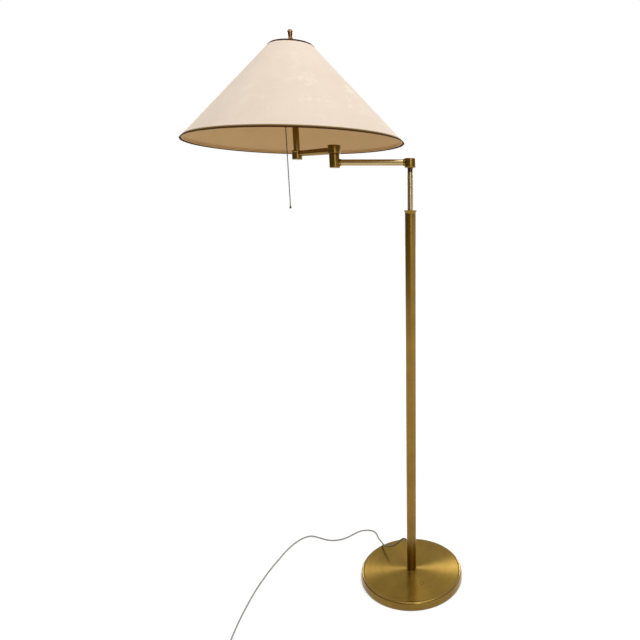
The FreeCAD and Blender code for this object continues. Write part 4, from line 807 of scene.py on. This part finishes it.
def folded_tape(name, radius, fold, free, material):
    """A strip folded over an edge of the cone: down the outside, round the edge and up the inside.

    Its profile leaves the paper by TAPE on both sides, and leans as the cone does between the heights
    fold and free. A rib is RIB_DEPTH sin(RIBS a) added to the radius of the outside.
    """
    lean = -SLOPE * (free - fold)
    way = 1.0 if free > fold else -1.0
    out, back = radius + TAPE, radius - PAPER - TAPE
    profile = np.array([
        (out + lean, free), (out, fold + way * TAPE), (out - 0.0002, fold + way * 0.0001),
        (radius, fold), (radius - PAPER, fold), (back + 0.0002, fold + way * 0.0001),
        (back, fold + way * TAPE), (back - way * SLOPE * DARK_INSIDE, fold + way * DARK_INSIDE),
        (back + lean, free), (back + lean + 0.0004, free),
        (radius - PAPER - 0.0001, fold + way * TAPE), (radius + 0.0001, fold + way * TAPE),
        (out + lean - 0.0004, free),
    ])
    count = 4 * RIBS
    angle = np.linspace(0, 2 * math.pi, count, endpoint=False)
    ribbed = (np.arange(len(profile)) < 3)[:, None]
    across = profile[:, :1] + RIB_DEPTH * (np.sin(RIBS * angle) - 1)[None, :] * ribbed
    points = np.empty((len(profile), count, 3))
    points[..., 0] = STEM[0] + across * np.cos(angle)
    points[..., 1] = STEM[1] + across * np.sin(angle)
    points[..., 2] = profile[:, 1:]
    tape = keep_mesh(name, points, grid_faces(len(profile), count, True, True), 50)
    tape.data.materials.append(material)
    tape.data.materials.append(shade_inside)
    return tape


def face_inwards(piece, radius):
    """Gives the second finish to the faces whose middles lie inside the cone's wall, above the dark fold."""
    middles = face_values(piece, "center")
    wall = radius - PAPER / 2 - SLOPE * (middles[:, 2] - SHADE_FOOT)
    within = np.linalg.norm(middles[:, :2] - STEM, axis=1) < wall
    inner = within & (middles[:, 2] > FOOT_LOW[2] + DARK_INSIDE)
    piece.data.polygons.foreach_set("material_index", inner.astype(np.int32))


foot_binding = folded_tape("foot_binding", FOOT_RADIUS, FOOT_LOW[2], FOOT_HIGH[2], foot_tape)
top_binding = folded_tape("top_binding", TOP_RADIUS, TOP_HIGH[2], TOP_LOW[2], top_tape)
for piece, replaced in ((foot_binding, "shade_foot_trim"), (top_binding, "shade_top_trim")):
    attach(piece, "arm_2")
    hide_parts(replaced)
    print(piece.name, "faces:", len(piece.data.polygons))
face_inwards(foot_binding, FOOT_RADIUS)

# %% Wire in the foot
WIRE, WIRE_RISE = 0.0013, 0.0024
wire_middle = FOOT_RADIUS - PAPER - TAPE - SLOPE * WIRE_RISE - 1.1 * WIRE * math.sqrt(1 + SLOPE ** 2)
wire_ring = arc(wire_middle, SHADE_FOOT + WIRE_RISE, WIRE, 0, 330, 12)
foot_wire = lathe("foot_wire", wire_ring, STEM, count=360, crease=60)
dress(foot_wire, shade_inside, "arm_2", ["shade_foot_ring"])

# %% [markdown]
# ## The elbow, the second arm and the stem
#
# The second arm is a tapered tube: thick where it leaves the elbow's upper hub and thinner at the stem.
# Its ends are cut to the round of the hubs that they meet. The hubs are turned, with a hollow for the nut
# in the upper one. They are made again here because the photograph shows them a little stouter and with
# softer lower edges than the plain solids, and a lathe profile gives edges that catch the light.

# %% Elbow and arm places
ELBOW = middle("elbow_washer")[:2]
ARM_2_WAY = math.atan2(STEM[1] - ELBOW[1], STEM[0] - ELBOW[0])
POST = middle("post_washer")[:2]
ARM_1_WAY = math.atan2(POST[1] - ELBOW[1], POST[0] - ELBOW[0])
ARM_2_LEVEL = middle("arm_2_tube")[2]
ARM_1_LEVEL = middle("arm_1_tube")[2]
ARM_2_LENGTH = math.hypot(STEM[0] - ELBOW[0], STEM[1] - ELBOW[1])
print("second arm: %.4f m at %.1f degrees" % (ARM_2_LENGTH, math.degrees(ARM_2_WAY)))


def laid(along, sideways, up, start, way, level):
    """Points along an arm, sideways of it and above its axis, turned to its way and moved to its start."""
    points = np.empty(np.broadcast(along, sideways, up).shape + (3,))
    points[..., 0] = start[0] + along * math.cos(way) - sideways * math.sin(way)
    points[..., 1] = start[1] + along * math.sin(way) + sideways * math.cos(way)
    points[..., 2] = level + up
    return points


def tube_between(first, second, wall, start_round, end_round, start, way, level, length, count=64):
    """Points and faces of a tapered tube whose ends are cut round.

    The radius goes from first to second. A point's place along the arm is sqrt(start_round^2 - s^2) at
    the start and length - sqrt(end_round^2 - s^2) at the end, s being how far it lies sideways.
    """
    angle = np.linspace(0, 2 * math.pi, count, endpoint=False)
    share = np.linspace(0, 1, 12)
    share = np.concatenate([share, share[::-1]])[:, None]
    inset = np.repeat([0.0, wall], 12)[:, None]
    across = first + (second - first) * share - inset
    sideways, up = across * np.cos(angle), across * np.sin(angle)
    near = np.sqrt(np.maximum(start_round ** 2 - sideways ** 2, 0))
    far = length - np.sqrt(np.maximum(end_round ** 2 - sideways ** 2, 0))
    points = laid(near + (far - near) * share, sideways, up, start, way, level)
    return points.reshape(-1, 3), grid_faces(24, count, True, True)


def joined(name, shells):
    """One object from several closed shells."""
    points = np.concatenate([shell[0] for shell in shells])
    offsets = np.cumsum([0] + [len(shell[0]) for shell in shells[:-1]])
    faces = np.concatenate([shell[1] + offset for shell, offset in zip(shells, offsets)])
    return keep_mesh(name, points, faces, 40)


# %% Second arm
UPPER_HUB, STEM_HUB, LOWER_HUB, ARM_WALL = 0.0142, 0.0119, 0.0120, 0.0012
FIT = 0.00005
ARM_THICK, ARM_THIN = 0.0076, 0.00645
second_arm = joined("second_arm", [tube_between(
    ARM_THICK, ARM_THIN, ARM_WALL, UPPER_HUB + FIT, STEM_HUB + FIT,
    ELBOW, ARM_2_WAY, ARM_2_LEVEL, ARM_2_LENGTH,
)])
dress(second_arm, aged_brass, "arm_2", ["arm_2_tube"])

# %% Elbow's hubs
PIPE, NUT_WELL, CAP_SEAT, HUB_FLOOR, CAP_DEPTH, EDGE = 0.0051, 0.0087, 0.00995, 0.0050, 0.0020, 0.0009
low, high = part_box("elbow_upper_hub")
upper_profile = soften([
    (PIPE, low[2]), (UPPER_HUB, low[2]), (UPPER_HUB, high[2]), (CAP_SEAT, high[2]),
    (CAP_SEAT, high[2] - CAP_DEPTH), (NUT_WELL, high[2] - CAP_DEPTH),
    (NUT_WELL, low[2] + HUB_FLOOR), (PIPE, low[2] + HUB_FLOOR),
], EDGE * 0.8)
elbow_top = lathe("elbow_top", upper_profile, ELBOW)
dress(elbow_top, aged_brass, "arm_2", ["elbow_upper_hub"])

low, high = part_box("elbow_lower_hub")
LOWER_DROP, LOWER_ROUND, PIVOT_BORE, PIVOT_DEPTH, WIRE_WAY = 0.0022, 0.0018, 0.0049, 0.010, 0.0024
foot = low[2] - LOWER_DROP
lower_profile = np.vstack([
    [(0.0, foot)],
    arc(LOWER_HUB - LOWER_ROUND, foot + LOWER_ROUND, LOWER_ROUND, -90, 0, 8),
    soften([
        (LOWER_HUB, high[2] - 0.004), (LOWER_HUB, high[2]), (PIVOT_BORE, high[2]),
        (PIVOT_BORE, high[2] - PIVOT_DEPTH),
    ], 0.0004, 4, False),
    [(WIRE_WAY, high[2] - PIVOT_DEPTH), (WIRE_WAY, ARM_1_LEVEL), (0.0, ARM_1_LEVEL)],
])
arm_1_ring = soften([(0.0068, 0.0112), (0.00765, 0.0112), (0.00735, 0.0152), (0.0068, 0.0152)], 0.0003, 3)
ring_angle = np.linspace(0, 2 * math.pi, 64, endpoint=False)
ring_points = laid(
    arm_1_ring[:, 1:] + 0 * ring_angle, arm_1_ring[:, :1] * np.cos(ring_angle),
    arm_1_ring[:, :1] * np.sin(ring_angle), ELBOW, ARM_1_WAY, ARM_1_LEVEL,
)
elbow_bottom = joined("elbow_bottom", [
    spun(lower_profile, ELBOW),
    (ring_points.reshape(-1, 3), grid_faces(len(arm_1_ring), 64, True, True)),
])
dress(elbow_bottom, aged_brass, "arm_1", ["elbow_lower_hub"])

# %% Stem's hub and stem
low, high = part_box("stem_hub")
STEM_DROP, FLANGE = 0.0016, 0.0010
foot = low[2] - STEM_DROP
stem_profile = np.vstack([
    [(0.0, foot)],
    soften([
        (STEM_HUB - 0.004, foot), (STEM_HUB, foot), (STEM_HUB, high[2] - 0.0036),
        (STEM_HUB + FLANGE, high[2] - 0.0026), (STEM_HUB + FLANGE, high[2]), (STEM_HUB - 0.004, high[2]),
    ], 0.0008, 5, False),
    [(0.0, high[2])],
])
stem_foot = lathe("stem_foot", stem_profile, STEM)
dress(stem_foot, aged_brass, "arm_2", ["stem_hub"])

stem_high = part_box("stem")[1]
STEM_TUBE, STEM_BORE = 0.0073, 0.0062
upright = soften([
    (STEM_TUBE, high[2]), (STEM_TUBE, stem_high[2]), (STEM_BORE, stem_high[2]), (STEM_BORE, high[2]),
], 0.0003)
stem_tube = lathe("stem_tube", upright, STEM, 64)
dress(stem_tube, aged_brass, "arm_2", ["stem"])

# %% [markdown]
# ## The pole's flared cup
#
# A short cup flares out on top of the pole and guides the rod. Its wall opens slowly at first and fast at
# the rim, as spun metal does, so its outside follows a parabola. A cone would look like plumbing.

# %% Flared cup
low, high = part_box("pole_collar")
POLE_RADIUS, POLE_BORE = 0.0127, 0.01145
CUP_RIM, CUP_BORE, SPIGOT, CUP_HEIGHT = 0.0149, 0.0090, 0.0140, 0.0095
opening = np.linspace(0, 1, 12)
pole_end = low[2] + SPIGOT
cup_outside = np.column_stack([
    POLE_RADIUS + (CUP_RIM - POLE_RADIUS) * opening ** 2,
    pole_end + 0.0006 + (CUP_HEIGHT - 0.0014) * opening,
])
cup_inside = np.column_stack([
    CUP_BORE + 0.0001 + (CUP_RIM - 0.0009 - CUP_BORE) * opening ** 1.5,
    pole_end + 0.0002 + (CUP_HEIGHT - 0.0002) * opening,
])[::-1]
flared_cup = lathe("flared_cup", np.vstack([
    [(CUP_BORE, low[2]), (POLE_BORE, low[2]), (POLE_BORE, pole_end), (POLE_RADIUS - 0.0006, pole_end)],
    cup_outside,
    [(CUP_RIM, pole_end + CUP_HEIGHT)],
    cup_inside,
]), (0, 0))
dress(flared_cup, aged_brass, "stand", ["pole_collar"])

# %% [markdown]
# ## Other finishes
#
# The rest is small or hidden, and gets plainer finishes: zinc plated steel, turned aluminium, cast iron,
# felt, nylon, fibre, card, a dark moulding, frosted glass and the plug's plastic. Each still has a grain
# at its own scale. A few pieces look different from the others of their metal, and are named one by one.


# %% Plain finishes
def grained(name, light, dark, scale, roughness, metallic=0.0, relief=0.1, depth=0.0002):
    """Two tones mixed by a fine noise that also gives the relief; scale is in grains per metre."""
    material, tree, shader = blank_material(name)
    where = add(tree, "TexCoord").outputs["Object"]
    grain = add(tree, "TexNoise", Vector=where, Scale=scale, Detail=4.0, Roughness=0.6)
    body = add(tree, "Mix", {"data_type": "RGBA"}, n0=grain.outputs[0], n6=dark, n7=light)
    tree.links.new(body.outputs[2], shader.inputs["Base Color"])
    shader.inputs["Metallic"].default_value = metallic
    gloss = add(
        tree, "MapRange", n0=grain.outputs[0], n1=0.3, n2=0.7, n3=roughness - 0.05, n4=roughness + 0.08
    )
    tree.links.new(gloss.outputs[0], shader.inputs["Roughness"])
    bump = add(tree, "Bump", Strength=relief, Distance=depth, Height=grain.outputs[0])
    tree.links.new(bump.outputs[0], shader.inputs["Normal"])
    return material


finishes = {
    "aged_brass": aged_brass,
    "base_brass": base_brass,
    "dark_brass": dark_brass,
    "iron": grained("cast_iron", paint(74, 72, 70), paint(44, 42, 41), 700.0, 0.65, 0.6, 0.5, 0.0004),
    "felt": grained("green_felt", paint(52, 66, 50), paint(30, 40, 30), 1800.0, 0.95, 0.0, 0.8, 0.0005),
    "plated_steel": grained("zinc_plate", paint(196, 196, 190), paint(164, 164, 158), 900.0, 0.34, 1.0),
    "nylon": grained("nylon", paint(226, 220, 204), paint(206, 200, 184), 500.0, 0.5),
    "fibre": grained("dark_fibre", paint(84, 50, 34), paint(52, 28, 18), 900.0, 0.7),
    "shade_binding": grained(
        "brown_braid", paint(92, 66, 30), paint(52, 32, 12), 1400.0, 0.8, 0.0, 0.6, 0.0004
    ),
    "bulb_white": grained("frosted_bulb", paint(244, 242, 234), paint(234, 232, 224), 200.0, 0.3),
    "screw_metal": grained("pale_metal", paint(206, 203, 194), paint(180, 176, 166), 800.0, 0.3, 1.0),
    "card": grained("brown_card", paint(122, 92, 60), paint(96, 70, 44), 900.0, 0.85),
    "phenolic": grained("dark_moulding", paint(40, 34, 32), paint(24, 20, 18), 300.0, 0.35),
    "cord_jacket": grey_flex,
    "plug_plastic": grained("plug_plastic", paint(120, 116, 112), paint(98, 95, 92), 600.0, 0.5),
    "shade_paper": shade_outside,
}
special = {
    # The rod and the first arm take the paler brass, a painted highlight.
    "inner_rod": highlit_brass,
    "arm_1_tube": highlit_brass,
    "guide_collet": aged_brass,
    "post_slip_washer": finishes["fibre"],
    "elbow_slip_washer": finishes["fibre"],
    "finial": copper_brass,
    "pull_chain": chain_brass,
    "chain_ball": chain_brass,
}
for name, node in nodes.items():
    node.data.materials.clear()
    node.data.materials.append(special.get(name, finishes[slot_of[name]]))
print("finishes:", len(finishes), "on", len(nodes), "CAD pieces")
